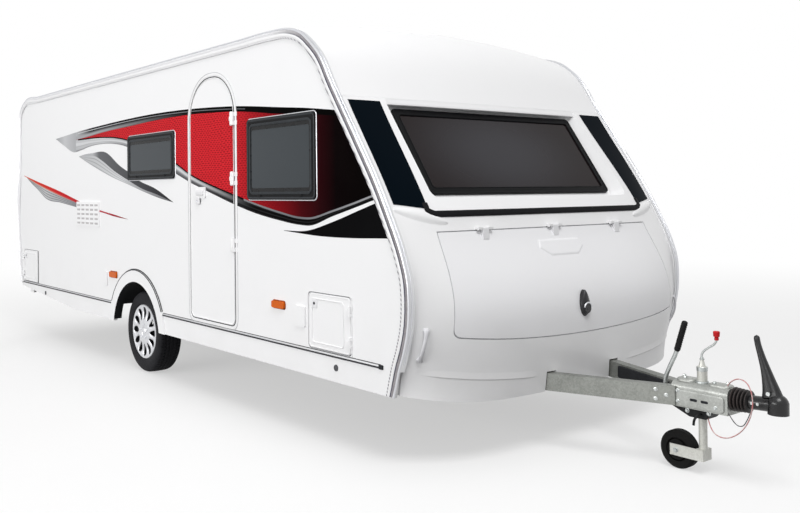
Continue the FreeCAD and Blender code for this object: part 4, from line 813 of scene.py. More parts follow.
def skins(*names):
    """Nearest outer place on CAD nodes for points in space, each cast against them along a direction."""
    trees = []
    for name in names:
        mesh = nodes[name].data
        trees.append(BVHTree.FromPolygons([v.co for v in mesh.vertices], [p.vertices for p in mesh.polygons]))

    def hit(point, way):
        found = [t.ray_cast(Vector(point), Vector(way)) for t in trees]
        found = [f for f in found if f[0] is not None]
        return min(found, key=lambda f: f[3])[:2] if found else (Vector(point), -Vector(way))
    return hit


front_skin = skins("front_upper", "front_moulding", "gas_locker_lid", "front_cap")


def on_front(y, z, out=0.0):
    """Place on the front at each y and z, seen from ahead, and the skin's outward direction there."""
    found = [front_skin((4.0, b, c), (-1, 0, 0)) for b, c in zip(y, z)]
    place_of = np.array([f[0][:] for f in found])
    way = np.array([f[1][:] for f in found])
    way[way[:, 0] < 0] *= -1
    return place_of + out * way, way


FOOT_HALF, FOOT_Z, FOOT_RISE = 0.992, 1.374, 0.062
t = np.linspace(-1, 1, 81)
strip_y = FOOT_HALF * np.clip(t * 1.06, -1, 1)
strip_z = FOOT_Z + FOOT_RISE * np.clip((np.abs(t) - 0.90) / 0.10, 0, 1) ** 1.4
foot_line, foot_way = on_front(strip_y, strip_z, 0.001)
foot_line[:, 0] += 0.002
foot_side = unit(np.cross(np.gradient(foot_line, axis=0), foot_way))
surface("front_foot_strip", carried(foot_line, full_round(0.019, 0.3, 20), foot_side), rubber, "tube")


# Front cap and gas locker lid
# The cap over the window rolls forward into a soft brow; the locker lid below follows the crowned moulding,
# with a plain raised panel where the real one has its sign, and a black lock under it.
def draped(name, y, z, height, material, body):
    """Sheet laid on the front at the grids y and z, whose height over the skin is the given function of them."""
    skin_place, way = on_front(y.ravel(), z.ravel())
    rise = height(y, z).ravel()[:, None]
    return surface(name, (skin_place + way * rise).reshape(*y.shape, 3), material, "sheet", body, out=(1, 0, 0))


PANEL_Z, PANEL_HALF = 1.155, 0.048


def panel_shape(y, z):
    """Height of the raised panel: a lozenge wider at the top, with softly rounded edges."""
    v = (z - PANEL_Z) / PANEL_HALF
    reach = 0.235 - 0.06 * (1 - v) / 2 - 0.05 * np.abs(v)
    inside = np.minimum(reach - np.abs(y), (1 - np.abs(v)) * PANEL_HALF) / 0.010
    return 0.006 * np.clip(inside, 0, 1) ** 0.7 - 0.0006


lid_white = coated("lid_white", "EEEEF0", 0.3, 0.07)
paint(lid_white, "gas_locker_lid")
sheet_y, sheet_z = np.meshgrid(np.linspace(-0.245, 0.245, 99), np.linspace(1.098, 1.212, 33), indexing="ij")
draped("lid_panel", sheet_y, sheet_z, panel_shape, lid_white, "gas_locker_lid")


def cheek_shape(y, z):
    """Height of the moulded cheek under a corner panel: a long drop along a falling line, steep at its lower edge."""
    q = np.clip((np.abs(y) - 0.87) / 0.335, 0, 1)
    half = 0.036 * np.clip(4 * q * (1 - q), 0, 1) ** 0.55 + 1e-4
    v = (z - (1.324 + 0.078 * q)) / half
    under = np.where(v < 0, np.clip(1.25 + v, 0, 1) ** 0.5, 1)
    return 0.011 * np.clip(1 - v**2, 0, 1) * under * (half > 0.006) - 0.0008


def lip_top(y):
    """Height above the ground of the fold's lower edge, which rises to both sides."""
    return 0.432 + 0.090 * (np.abs(y) / 1.18) ** 2


def lip_shape(y, z):
    """Height of the fold over the moulding's lower lip: it swells slowly downwards and drops back in a short step."""
    ends = np.clip((np.abs(y) - 0.40) / 0.08, 0, 1) * np.clip((1.165 - np.abs(y)) / 0.12, 0, 1)
    below = lip_top(y) - z
    return 0.0036 * ends * np.clip(1 + below / 0.050, 0, 1) ** 1.4 * np.clip(1 - below / 0.006, 0, 1) - 0.0005


for s, side in SIDES:
    sheet_y, sheet_z = np.meshgrid(s * np.linspace(0.865, 1.210, 48), np.linspace(1.283, 1.443, 21), indexing="ij")
    draped(f"cheek_{side}", sheet_y, sheet_z, cheek_shape, body_white, "caravan")
    share = np.linspace(0, 1, 25)[None, :]
    sheet_y = s * np.linspace(0.40, 1.165, 54)[:, None] + 0 * share
    draped(f"moulding_lip_{side}", sheet_y, lip_top(sheet_y) - 0.0085 + 0.0625 * share**1.6, lip_shape, body_white,
           "caravan")

LID_TOP, LID_LOW, LID_HALF_TOP, LID_HALF_LOW = 1.272, 0.722, 0.965, 1.015
LID_HINGES = (-0.618, 0, 0.618)


def lid_line(grow):
    """Half of the lid's outline seen from ahead, drawn out by grow: top edge, slanting side, a quadratic curve at the
    lower corner and a shallow arc along the foot."""
    top, low, half_top, half_low = LID_TOP + grow, LID_LOW - grow, LID_HALF_TOP + grow, LID_HALF_LOW + grow
    sag, corner = 0.062, 0.048
    bow = (half_low**2 + sag**2) / (2 * sag)
    side = corner / math.hypot(half_low - half_top, top - low)
    ends = np.array([(half_low + (half_top - half_low) * side, low + (top - low) * side), (half_low, low),
                     (half_low - corner, low - sag + bow - math.sqrt(bow**2 - (half_low - corner) ** 2))])
    t = np.linspace(0, 1, 9)[:, None]
    curve = (1 - t) ** 2 * ends[0] + 2 * t * (1 - t) * ends[1] + t**2 * ends[2]
    foot = np.linspace(ends[2, 0], 0, 25)[1:]
    down = np.linspace(0, 1, 30)[:-1, None]
    return np.vstack([np.array((half_top, top)) * (1 - down) + ends[0] * down, curve,
                      stacked(foot, low - sag + bow - np.sqrt(bow**2 - foot**2))])


# a pale rubber seal fills the joint round the lid, a little below the skin beside it
SEAL_GAP, SEAL_DEPTH, SEAL_R = 0.003, 0.0062, 0.0031
seals = []
line, beside = lid_line(SEAL_GAP), lid_line(SEAL_GAP + 0.008)
for s, _ in SIDES:
    skin_place, way = on_front(s * beside[:, 0], beside[:, 1])
    spots = stacked(skin_place[:, 0], s * line[:, 0], line[:, 1]) - SEAL_DEPTH * way
    seals.append(carried(spots, full_round(SEAL_R), ACROSS))
# along the top a smooth curve is fitted to the skin between the hinges
top_y = np.linspace(-LID_HALF_TOP, LID_HALF_TOP, 91)
clear = np.min(np.abs(top_y[:, None] - np.array(LID_HINGES)), axis=1) > 0.075
skin_place, _ = on_front(top_y, np.full(91, LID_TOP + 0.012))
top_x = np.polyval(np.polyfit(top_y[clear], skin_place[clear, 0], 6), top_y)
top_line = stacked(top_x - SEAL_DEPTH, top_y, LID_TOP + SEAL_GAP)
seals.append(carried(top_line, full_round(SEAL_R), UP))
joined("lid_seal", seals, moulded("lid_seal", "C9CACD", "B4B5B8", 0.6), "tube")

# the drip lip under the brow hangs over the window's head; past its flat half the last place seen is kept
BROW_HALF, BROW_Z, FLAT_HALF = 1.228, 2.060, 1.19
lip_y = np.linspace(-BROW_HALF, BROW_HALF, 121)
brow_line, _ = on_front(np.clip(lip_y, -FLAT_HALF, FLAT_HALF), np.full(121, BROW_Z + 0.014))
brow_line[:, 1:] = stacked(lip_y, BROW_Z)
drip = np.array([(0.016, -0.006), (0.014, 0.0015), (0.004, 0.0045), (-0.012, 0.0125), (-0.022, 0.0165),
                 (-0.0285, 0.0175), (-0.0320, 0.0150), (-0.0310, 0.0095), (-0.0200, 0.0060), (-0.0060, 0.0010),
                 (0.0, -0.006)])
surface("brow_drip_lip", carried(brow_line, drip, UP), body_white, "tube")

# the lock: a drop-shaped boss, its key barrel and a bright band over it
LID_LOCK_Z = 0.815
(lock_at,), (lock_way,) = on_front([0.0], [LID_LOCK_Z])
lock_u = np.array(ACROSS)
lock_v = np.cross(lock_way, lock_u)


def teardrop(size, height):
    """Grid over a drop-shaped boss: round below, drawn to a point above, with the height of a rounded dome."""
    a = circle(48)
    point = np.clip(np.cos(a), 0, 1) ** 2
    rows = []
    for q in np.linspace(1, 0.02, 9):
        drop = stacked(np.sin(a) * (0.62 - 0.20 * point), np.cos(a) * (1.0 + 0.38 * point)) * size * q
        flat = lock_at + drop[:, :1] * lock_u + drop[:, 1:] * lock_v
        rows.append(flat + height * math.sqrt(1 - q * q) * lock_way)
    return np.array([rows[0] - 0.02 * lock_way] + rows)


lock_black = moulded("lock_black", "17171A", "26262A", 0.28, mirror=0.4)
surface("lid_lock_boss", teardrop(0.066, 0.020), lock_black, "tube", "gas_locker_lid")
key_at = lock_at + 0.017 * lock_way - 0.018 * lock_v
barrel = turned([(-0.012, 0.0), (-0.012, 0.030), (0.004, 0.030), (0.007, 0.027), (0.0065, 0.012), (0.009, 0.010),
                 (0.009, 0.0)], key_at, lock_way)
surface("lid_lock_barrel", barrel, lock_black, "lathe", "gas_locker_lid")
turn = np.linspace(-0.42, 0.42, 25)[:, None] * math.pi
band_path = key_at + 0.0345 * (np.sin(turn) * lock_u + np.cos(turn) * lock_v) + 0.0050 * lock_way
surface("lid_lock_band", carried(band_path, full_round(0.0042, 1.1), lock_way), bright_bead, "tube", "gas_locker_lid")


# Entrance door
# One-piece door with a rounded top, hung on three hinges. A rubber seal shows in the gap, and the lock plate
# carries a paddle handle and a key barrel.
def door_line(grow, y, steps=14):
    """Door outline drawn out by grow: straight sides, top corners of the top radius and small lower corners."""
    x0, x1, z0, z1 = DOOR[0] - grow, DOOR[1] + grow, DOOR[2] - grow, DOOR[3] + grow
    top_r, low_r = DOOR_R + grow, 0.05 + grow
    points = []
    for x, z, r, start in ((x1 - low_r, z0 + low_r, low_r, -90), (x1 - top_r, z1 - top_r, top_r, 0),
                           (x0 + top_r, z1 - top_r, top_r, 90), (x0 + low_r, z0 + low_r, low_r, 180)):
        a = np.radians(np.linspace(start, start + 90, steps))
        points.append(stacked(x + r * np.cos(a), y, z + r * np.sin(a)))
    return np.vstack(points)


door_rubber = moulded("door_seal", "26272A", "35363A", 0.6)
# the grey line just outside the door frame is a painted shadow along the frame's outer edge
frame_line = moulded("frame_line", "CDCED0", "C2C3C5", 0.5)
for label, grow, out, profile, material, body in (
        ("seal", 0.0032, -0.0008, full_round(0.0036), door_rubber, "caravan"),
        ("rim", -0.006, 0.0005, full_round(0.0045, 0.45), cover_white, "entrance_door"),
        ("frame", 0.0195, 0.0, full_round(0.0125, 0.24, 16)[:, ::-1], cover_white, "caravan"),
        ("frame_line", 0.0345, 0.0002, full_round(0.0026), frame_line, "caravan")):
    line = door_line(grow, -WALL_Y - out)
    surface(f"door_{label}", carried(line, profile, ACROSS, closed=True), material, "loop", body)
HINGE_X, HINGES = 0.8035, (1.142, 1.602, 2.018)
covers = [wall_slab(-1, HINGE_X, z, (0.0130, 0.050), 0.012, 0.0170, 0.007, 0.002) for z in HINGES]
joined("hinge_covers", covers, cover_white, "tube", "entrance_door")
LOCK_X, LOCK_Z, LOCK_OUT = 0.335, 1.508, 0.0098
KEY_X, KEY_Z = LOCK_X - 0.018, LOCK_Z - 0.062
lock_white = coated("lock_white", "E4E4E6", 0.4, 0.1)
paddle = [wall_slab(-1, LOCK_X + 0.010, LOCK_Z, (0.055, 0.022), 0.012, 0.0085, 0.005, 0.002, LOCK_OUT),
          wall_slab(-1, KEY_X, KEY_Z, (0.028, 0.026), 0.012, 0.008, 0.004, 0.0, LOCK_OUT)]
joined("door_handle", paddle, lock_white, "tube", "entrance_door")
key = turned([(0.0, 0.0), (0.003, 0.004), (0.003, 0.010), (0.001, 0.012), (-0.006, 0.012), (-0.006, 0.0)],
             wall_spot(-1, KEY_X, KEY_Z, 0.017), (0, -1, 0), 24)
surface("door_key", key, bright_bead, "lathe", "entrance_door")


# Lockers, grille and lamps in the walls
# Flush locker doors with an embossed panel and a small lock, a slotted fridge grille, and ribbed amber side
# lamps in their holders.
def middle_and_half(low, high):
    return (low + high) / 2, (high - low) / 2


locker_seal = moulded("locker_seal", "8A8B8F", "6E6F73", 0.6)
for name, x0, x1, z0, z1, hinge_colour in (("front", 1.697, 2.113, 0.564, 0.894, cover_white),
                                           ("rear", -3.735, -3.287, 0.562, 0.898, trim_dark)):
    (xm, xh), (zm, zh) = middle_and_half(x0, x1), middle_and_half(z0, z1)
    lock_x, lock_z = x0 + 0.062, z1 - 0.062
    body = f"{name}_locker_door"
    ribs = [wall_loop(-1, xm - 0.015, zm, (xh - 0.052, zh - 0.034), 0.02, full_round(0.0045, 0.8)),
            wall_loop(-1, xm, zm, (xh - 0.006, zh - 0.006), 0.024, full_round(0.003, 0.7))]
    joined(f"{name}_locker_ribs", ribs, cover_white, "loop", body)
    plate = wall_slab(-1, lock_x, lock_z, (0.028, 0.028), 0.006, 0.004, 0.002)
    surface(f"{name}_locker_plate", plate, lock_white, "tube", body)
    key = turned([(0.0055, 0.0), (0.006, 0.008), (0.004, 0.0095), (-0.004, 0.0095), (-0.004, 0.0)],
                 wall_spot(-1, lock_x, lock_z), (0, -1, 0), 24)
    surface(f"{name}_locker_key", key, trim_dark, "lathe", body)
    strip = stacked(x1 + 0.0095, -WALL_Y - 0.0015, np.linspace(z0 - 0.004, z1 + 0.004, 20))
    surface(f"{name}_locker_hinge", carried(strip, full_round(0.0042), ACROSS), hinge_colour, "tube")
    seal = wall_loop(-1, xm, zm, (xh + 0.003, zh + 0.003), 0.03, full_round(0.004), -0.012)
    joined(f"{name}_locker_seal", [seal], locker_seal, "loop")

GRILLE_X, GRILLE_Z, SLOT_PITCH, ROW_PITCH, GRILLE_OUT = -2.072, 1.232, 0.108, 0.042, 0.0096
# flat grey plates in the slots under the white lips: painted shade inside the openings
slot_shade = moulded("slot_shadow", "C6C3C4", "B8B5B7", 0.6)
slots, lips = [], []
for s, _ in SIDES:
    for column in range(5):
        for row in range(5):
            x, z = GRILLE_X + column * SLOT_PITCH, GRILLE_Z + row * ROW_PITCH
            slots.append(wall_slab(s, x, z, (0.038, 0.0085), 0.004, 0.0008, 0.0006, out=GRILLE_OUT))
            lips.append(wall_slab(s, x, z + 0.0125, (0.041, 0.004), 0.003, 0.0045, 0.002, out=GRILLE_OUT))
joined("grille_slot_shade", slots, slot_shade, "tube")
joined("grille_lips", lips, cover_white, "tube")

amber = moulded("amber_lens", "D9640F", "C2540A", 0.18, 90.0, 0.2)
red_lens = moulded("red_lens", "A5121A", "8A0E15", 0.15, 90.0, 0.2)
paint(amber, "marker_lamps")
paint(red_lens, "rear_lamps")
holders, ribs = [], []
for s, _ in SIDES:
    for x0, x1, z0, z1 in ((1.303, 1.441, 0.764, 0.808), (-1.338, -1.191, 0.768, 0.816)):
        (xm, xh), (zm, zh) = middle_and_half(x0, x1), middle_and_half(z0, z1)
        holders.append(wall_loop(s, xm, zm, (xh + 0.002, zh + 0.002), 0.014, full_round(0.0035, 1.4)))
        for share in (-0.6, -0.2, 0.2, 0.6):
            ribs.append(wall_slab(s, xm + share * xh, zm, (0.010, zh - 0.007), 0.004, 0.0015, 0.0012, out=0.0143))
joined("lamp_holders", holders, moulded("holder_orange", "A3480A", "7E3808", 0.4), "loop")
joined("lamp_ribs", ribs, amber, "tube")


# Roof
# Two hatches with milky white acrylic lids in raised frames, which lift on a hinge along their rear edges, and a
# small mushroom vent between them.
hatch_acrylic = tinted("hatch_acrylic", "D9DADC", "C9CACC", 0.9, (0, 0, 2.7), (4, 2, 1))
paint(hatch_acrylic, "front_hatch_lid", "rear_hatch_lid")
vent_profile = [(-0.03, 0.0), (-0.03, 0.05), (0.012, 0.045), (0.012, 0.085), (0.030, 0.082), (0.042, 0.055),
                (0.046, 0.0)]
surface("roof_vent", turned(vent_profile, (-1.0, -0.55, 2.6145), (0, 0, 1)), cover_white, "lathe")


# Wheels
# Tubeless road tyres on steel wheels with silver plastic covers: twelve spokes that flare into the outer ring
# round rounded slots, five bolt caps and a domed centre.
HUB = (-0.800, 0.340)
TYRE_Y = 1.0895
TYRE_LINE = np.array([(-0.070, 0.2225), (-0.084, 0.2240), (-0.092, 0.2320), (-0.0985, 0.2480), (-0.1022, 0.2700),
                      (-0.1015, 0.2900), (-0.0975, 0.3080), (-0.0915, 0.3220), (-0.0820, 0.3320), (-0.070, 0.3365),
                      (-0.045, 0.3388), (-0.020, 0.3398), (0.0, 0.3400)])
TREAD_PITCHES = 68


def bump(x, middle, half, soft):
    """1 inside half of middle, falling smoothly to 0 over soft."""
    e = np.clip((half + soft - np.abs(x - middle)) / soft, 0, 1)
    return e * e * (3 - 2 * e)


def tyre_grid(s):
    """Section carried round the hub. The radius loses four grooves round the tread, slanted cuts in its blocks, a rim
    line and fine ribs on the sidewall."""
    half = along(stacked(*TYRE_LINE.T, 0), 34)[:, :2]
    line = np.vstack([half, (half * (-1, 1))[-2::-1]])
    a = circle(TREAD_PITCHES * 8)
    across, radius = line[None, :, 0], line[None, :, 1]
    tread = np.clip((radius - 0.328) / 0.006, 0, 1)
    grooves = sum(bump(across, m, 0.0028, 0.0022) for m in (-0.047, -0.016, 0.016, 0.047)) * 0.0075
    turn = a[:, None] * TREAD_PITCHES / (2 * math.pi)
    shoulder = bump((turn + across * 6) % 1, 0.5, 0.07, 0.09) * (np.abs(across) > 0.051) * 0.0065
    block = bump((turn + across * 18) % 1, 0.25, 0.05, 0.08) * (np.abs(across) < 0.044) * 0.0040
    side = 1 - tread
    ribs = side * (bump(radius, 0.246, 0.002, 0.002) * 0.0016 + bump(radius, 0.300, 0.0012, 0.0012) * 0.0010)
    r = radius - tread * np.maximum(grooves, np.maximum(shoulder, block))
    t = across + np.sign(across) * ribs
    return stacked(HUB[0] + r * np.cos(a)[:, None], s * (TYRE_Y + t), HUB[1] + r * np.sin(a)[:, None])


tyre_black = moulded("tyre_rubber", "17171A", "29292C", 0.62, 18.0, 1.2)
cover_silver = moulded("wheel_cover_silver", "DEDFE2", "CDCED2", 0.3, 14.0, 0.1, metallic=0.6, mirror=0.5)
BOLT_CIRCLE = 0.056
wheel_dark = moulded("wheel_steel", "26272A", "3A3B3E", 0.55, metallic=0.4)
paint(wheel_dark, "wheel_right", "wheel_left")
SPOKES, SLOT_IN, SLOT_OUT, COVER_R = 12, 0.103, 0.206, 0.234


def spoke_half(r):
    """Half the angle of a spoke: the whole pitch outside the slots, and narrowing smoothly between their ends."""
    q = np.clip((r - SLOT_IN) / (SLOT_OUT - SLOT_IN), 0, 1)
    slot = np.sqrt(np.clip(1 - (2 * q - 1) ** 2, 0, 1)) * (0.42 + 0.22 * q)
    return math.pi / SPOKES * (1 - slot)


def cover_grid(s, k):
    """Sector k of the cover, one for each spoke: radius by share across the spoke. The face dishes, and each spoke is
    crowned and drops at its sides into the slots."""
    q = np.linspace(0, 1, 15)
    slot_r = SLOT_IN + (SLOT_OUT - SLOT_IN) * (1 - np.cos(q * math.pi)) / 2
    r = np.concatenate([np.linspace(0.034, SLOT_IN, 7)[:-1], slot_r, np.linspace(SLOT_OUT, COVER_R, 6)[1:]])
    r = r[:, None]
    t = np.linspace(-1, 1, 11)[None, :]
    angle = 2 * math.pi * (k + 0.5) / SPOKES + t * spoke_half(r)
    cut = 1 - spoke_half(r) / (math.pi / SPOKES)
    rim_drop = 0.030 * np.clip((r - 0.222) / 0.012, 0, 1) ** 2
    dish = 0.0945 - 0.010 * np.exp(-((r - 0.160) / 0.045) ** 2) - rim_drop
    out = dish - np.clip(cut, 0, 1) * 0.012 * t**4 + 0.0015 * np.cos(t * 1.5) * np.clip(cut * 3, 0, 1)
    return stacked(HUB[0] + r * np.cos(angle), s * (TYRE_Y + out), HUB[1] + r * np.sin(angle))


for s, side in SIDES:
    body = f"wheel_{side}"
    tyre = surface(f"tread_{side}", tyre_grid(s), tyre_black, "hoop", body)
    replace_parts(tyre, f"tyre_{side}")
    axis = (0, s, 0)
    sectors = [surface(f"sector_{k}", cover_grid(s, k), cover_silver, "sheet", body, axis) for k in range(SPOKES)]
    cover = merged(f"wheel_cover_{side}", sectors, body)
    with reshaping(cover.data) as shape:
        bmesh.ops.remove_doubles(shape, verts=shape.verts, dist=2e-5)
    for polygon in cover.data.polygons:
        polygon.use_smooth = True
    thick = cover.modifiers.new("wall", "SOLIDIFY")
    thick.thickness = 0.004
    thick.offset = -1
    middle = (HUB[0], s * TYRE_Y, HUB[1])
    centre = [turned([(0.070, 0.0), (0.070, 0.036), (0.0935, 0.036), (0.0960, 0.033), (0.0945, 0.030),
                      (0.0965, 0.026), (0.0985, 0.012), (0.0990, 0.0)], middle, axis)]
    for k in range(5):
        a = 2 * math.pi * k / 5 + 0.3
        spot = (HUB[0] + BOLT_CIRCLE * math.cos(a), s * TYRE_Y, HUB[1] + BOLT_CIRCLE * math.sin(a))
        centre.append(turned([(0.080, 0.0), (0.080, 0.0105), (0.0985, 0.0095), (0.1005, 0.0065), (0.0980, 0.0040),
                              (0.0975, 0.0)], spot, axis, 6))
    joined(f"wheel_centre_{side}", centre, cover_silver, "lathe", body)
    back = turned([(0.0, 0.13), (0.052, 0.13), (0.060, 0.19), (0.066, 0.228), (0.060, 0.231), (0.040, 0.222),
                   (0.0, 0.222), (0.0, 0.13)], middle, axis, 72)
    surface(f"rim_face_{side}", back, wheel_dark, "lathe", body)
    valve = turned([(0.058, 0.0), (0.058, 0.004), (0.084, 0.004), (0.086, 0.0)],
                   (HUB[0] + 0.19, s * TYRE_Y, HUB[1] - 0.03), axis, 12)
    surface(f"valve_{side}", valve, rubber, "lathe", body)


# Chassis and drawbar
# Hot-dip galvanised steel, dull grey with a faint spangle: longitudinal rails, cross members, torsion axle with
# trailing arms, and an A-frame bolted to the overrun housing.
spangle, spangle_in, spangle_out = group(
    "zinc_spangle",
    [("Light", "colour", (1, 1, 1, 1)), ("Dark", "colour", (1, 1, 1, 1)), ("Size", "value", 90.0)],
    [("Color", "colour"), ("Roughness", "value"), ("Normal", "normal")])
spot = place(spangle)
cells = spangle.nodes.new("ShaderNodeTexVoronoi")
spangle.links.new(spot, cells.inputs["Vector"])
spangle.links.new(spangle_in["Size"], cells.inputs["Scale"])
flakes = times(spangle, add(spangle, "SeparateColor", cells.outputs["Color"]), 0.22)
bloom = plus(spangle, flakes, times(spangle, noise(spangle, spot, 5.0, 6.0, 0.6), 0.95))
zinc_tone = blended(spangle, spread(spangle, bloom, 0.15, 1.0), spangle_in["Dark"], spangle_in["Light"])
spangle.links.new(zinc_tone, spangle_out["Color"])
spangle.links.new(spread(spangle, bloom, 0.2, 0.9, 0.52, 0.34), spangle_out["Roughness"])
spangle.links.new(add(spangle, "Bump", 0.2, 0.002, None, noise(spangle, spot, 60.0, 4.0)), spangle_out["Normal"])


def galvanised(name, light, dark, size, metallic=0.55):
    tree, shader, made = finish(name, metallic)
    wear(tree, shader, use(tree, spangle, Light=tone(light), Dark=tone(dark), Size=size))
    return made


zinc = galvanised("galvanised_steel", "9C9E99", "737571", 120.0)
zinc_new = galvanised("galvanised_casting", "B9BBB7", "8F918D", 140.0)
zinc_pale = galvanised("galvanised_tube", "DADAD5", "B9B9B2", 140.0, 0.4)
zinc_plated = galvanised("plated_steel", "D4D7D6", "8F9493", 260.0, 0.9)
paint(zinc_new, "overrun_housing")
paint(zinc, "chassis_rails", "cross_members", "drawbar_beams", "axle_tube", "trailing_arms", "steady_brackets",
      "steady_front_right", "steady_front_left", "steady_rear_right", "steady_rear_left")


def bolts(name, spots, way, r, height, material, body="caravan"):
    """Hexagon heads on round washers, turned about the same way."""
    washer = [(-0.002, 0.0), (-0.002, r * 1.35), (0.0012, r * 1.35), (0.0018, r * 1.1)]
    head = [(0.0, 0.0), (0.0, r), (height * 0.8, r), (height, r * 0.86), (height, 0.0)]
    joined(f"{name}_washers", [turned(washer, spot, way, 20) for spot in spots], material, "tube", body)
    joined(name, [turned(head, spot, way, 6) for spot in spots], material, "lathe", body)


BEAM_START = (2.180, 0.550)
BEAM_RUN = (1.220, 0.472)
HOUSING_Z, HOUSING_TOP = 0.394, 0.4775
JOCKEY_X = 3.511


def beam_y(x):
    """Distance of a drawbar beam's outer face from the centre line, at each place along the caravan."""
    return BEAM_START[1] - (x - BEAM_START[0]) * BEAM_RUN[1] / BEAM_RUN[0]


run_x, run_y = unit(BEAM_RUN)
for s, side in SIDES:
    cheek = slab((3.512, s * 0.0622, HOUSING_Z), wall_u(s), UP, (0.152, 0.044), 0.022, 0.007, 0.003)
    surface(f"housing_cheek_{side}", cheek, zinc_new, "tube")
    slots = [slab((x, s * 0.0692, HOUSING_Z), wall_u(s), UP, (0.020, 0.007), 0.006, 0.0008, 0.0005)
             for x in (3.50, 3.56)]
    joined(f"housing_slots_{side}", slots, trim_dark, "tube")
    # a dark plate along each beam's inner face stands in for the shade there: painted shade
    shade_cover_at = (3.065, s * (beam_y(3.065) - 0.0646), 0.402)
    shade_cover = slab(shade_cover_at, (s * run_x, -run_y, 0), UP, (0.235, 0.036), 0.012, 0.012, 0.004)
    surface(f"beam_shade_cover_{side}", shade_cover, trim_dark, "tube")
    spots = [(x, s * (beam_y(x) + 0.0005), z) for x, z in ((3.31, 0.375), (3.31, 0.425), (3.36, 0.40))]
    bolts(f"beam_bolts_{side}", spots, (run_y, s * run_x, 0), 0.008, 0.007, zinc_plated)
    spots = [(x, s * 0.0692, z) for x, z in ((3.41, 0.375), (3.41, 0.43), (3.62, 0.375))]
    bolts(f"housing_bolts_{side}", spots, (0, s, 0), 0.008, 0.007, zinc_plated)
spots = [(3.400, 0.018, 0.494), (3.430, -0.022, 0.494), (3.590, -0.018, 0.490), (3.640, 0.020, 0.490)]
bolts("housing_top_bolts", spots, UP, 0.009, 0.010, zinc_plated)
crown = slab((3.4315, 0, HOUSING_TOP), (1, 0, 0), ACROSS, (0.0515, 0.046), 0.030, 0.016, 0.012, 0.004)
nose = slab((3.615, 0, HOUSING_TOP), (1, 0, 0), ACROSS, (0.058, 0.040), 0.026, 0.012, 0.010, 0.003)
joined("housing_castings", [crown, nose], zinc_new, "tube")
collar = [(-0.004, 0.0262), (-0.004, 0.0335), (0.002, 0.0335), (0.008, 0.031), (0.009, 0.0275), (0.007, 0.0262)]
surface("tube_collar", turned(collar, (JOCKEY_X, 0, 0.480), UP), zinc_plated, "loop")


# Overrun coupling
# A ribbed rubber gaiter covers the sliding draw tube; the black ball head carries a long moulded lever that is
# lifted to let go of the ball.
DRAW_Z, DRAW_R, GAITER_LONG = 0.425, 0.024, 0.0915


def gaiter():
    """Folded rubber tube: its radius swings between five crests and the valleys, and tapers a little."""
    u = np.linspace(0, 1, 111)
    fold = 1 - np.abs(np.sin(u * 5 * math.pi)) ** 0.75
    r = (0.0625 - 0.0200 * fold) * (1 - 0.10 * u)
    r[0] = r[-1] = 0.0265
    profile = np.vstack([(0, DRAW_R), stacked(u * GAITER_LONG, r), (GAITER_LONG, DRAW_R)])
    return turned(profile, (3.6803, 0, DRAW_Z), (1, 0, 0), 56)


bellows_rubber = moulded("bellows_rubber", "131213", "1D1B1B", 0.42, 60.0, 0.5, mirror=0.35)
# the crests of the folds are painted lighter and browner than the valleys: a painted highlight
tree = bellows_rubber.node_tree
apart = add(tree, "SeparateXYZ", place(tree)).node.outputs
off_axis = add(tree, "CombineXYZ", 0.0, apart[1], maths(tree, "SUBTRACT", apart[2], DRAW_Z))
crest = spread(tree, add(tree, "VectorMath", off_axis, out=1, operation="LENGTH"), 0.050, 0.060)
skin = tree.nodes["Principled BSDF"].inputs["Base Color"]
tree.links.new(blended(tree, crest, skin.links[0].from_socket, tone("2B2321")), skin)
bellows = surface("gaiter_folds", gaiter(), bellows_rubber, "loop")
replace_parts(bellows, "draw_bellows")
head_black = moulded("coupling_black", "070708", "101113", 0.18, 16.0, 0.2, mirror=0.5)
paint(head_black, "coupling_head")


def lever_skin():
    """Sections of a tapering lever, each a rounded oblong that turns with the lever's line."""
    line = along([(3.878, 0, 0.470), (3.874, 0, 0.492), (3.861, 0, 0.545), (3.846, 0, 0.600), (3.824, 0, 0.670),
                  (3.808, 0, 0.728), (3.804, 0, 0.752), (3.8035, 0, 0.7665)], 60)
    q = np.linspace(0, 1, 60)[:, None]
    long = 0.0130 + 0.0360 * (1 - q) ** 2.3
    wide = 0.0122 + 0.0150 * (1 - q) ** 2.0
    end = np.sqrt(np.clip(1 - ((q - 0.945) / 0.055).clip(0, 1) ** 2, 0.0004, 1))
    a = circle(32)[None, :]
    bulge = (np.abs(np.cos(a)) ** 3.2 + np.abs(np.sin(a)) ** 3.2) ** (-1 / 3.2)
    groove = 1 - 0.16 * np.exp(-(np.cos(a) / 0.30) ** 2) * (q > 0.06) * (q < 0.9)
    fore = np.cross(ACROSS, unit(np.gradient(line, axis=0)))
    x = (long * end * bulge * np.cos(a))[..., None] * fore[:, None]
    y = (wide * end * bulge * groove * np.sin(a))[..., None] * np.array(ACROSS)
    return line[:, None] + x + y


handle_black = moulded("handle_plastic", "0D0D0E", "18191B", 0.3, 26.0, 0.6, mirror=0.4)
handle = surface("coupling_lever", lever_skin(), handle_black, "tube")
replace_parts(handle, "coupling_handle")
pin = turned([(-0.036, 0.0), (-0.036, 0.010), (-0.031, 0.011), (-0.031, 0.007), (0.031, 0.007), (0.031, 0.011),
              (0.036, 0.010), (0.036, 0.0)], (3.872, 0, 0.488), ACROSS, 28)
surface("coupling_pin", pin, zinc_plated, "lathe")
for label, s in (("bolts", -1), ("nuts", 1)):
    bolts(f"coupling_{label}", [(x, s * 0.0252, 0.428) for x in (3.790, 3.820)], (0, s, 0), 0.009, 0.012, zinc_plated)


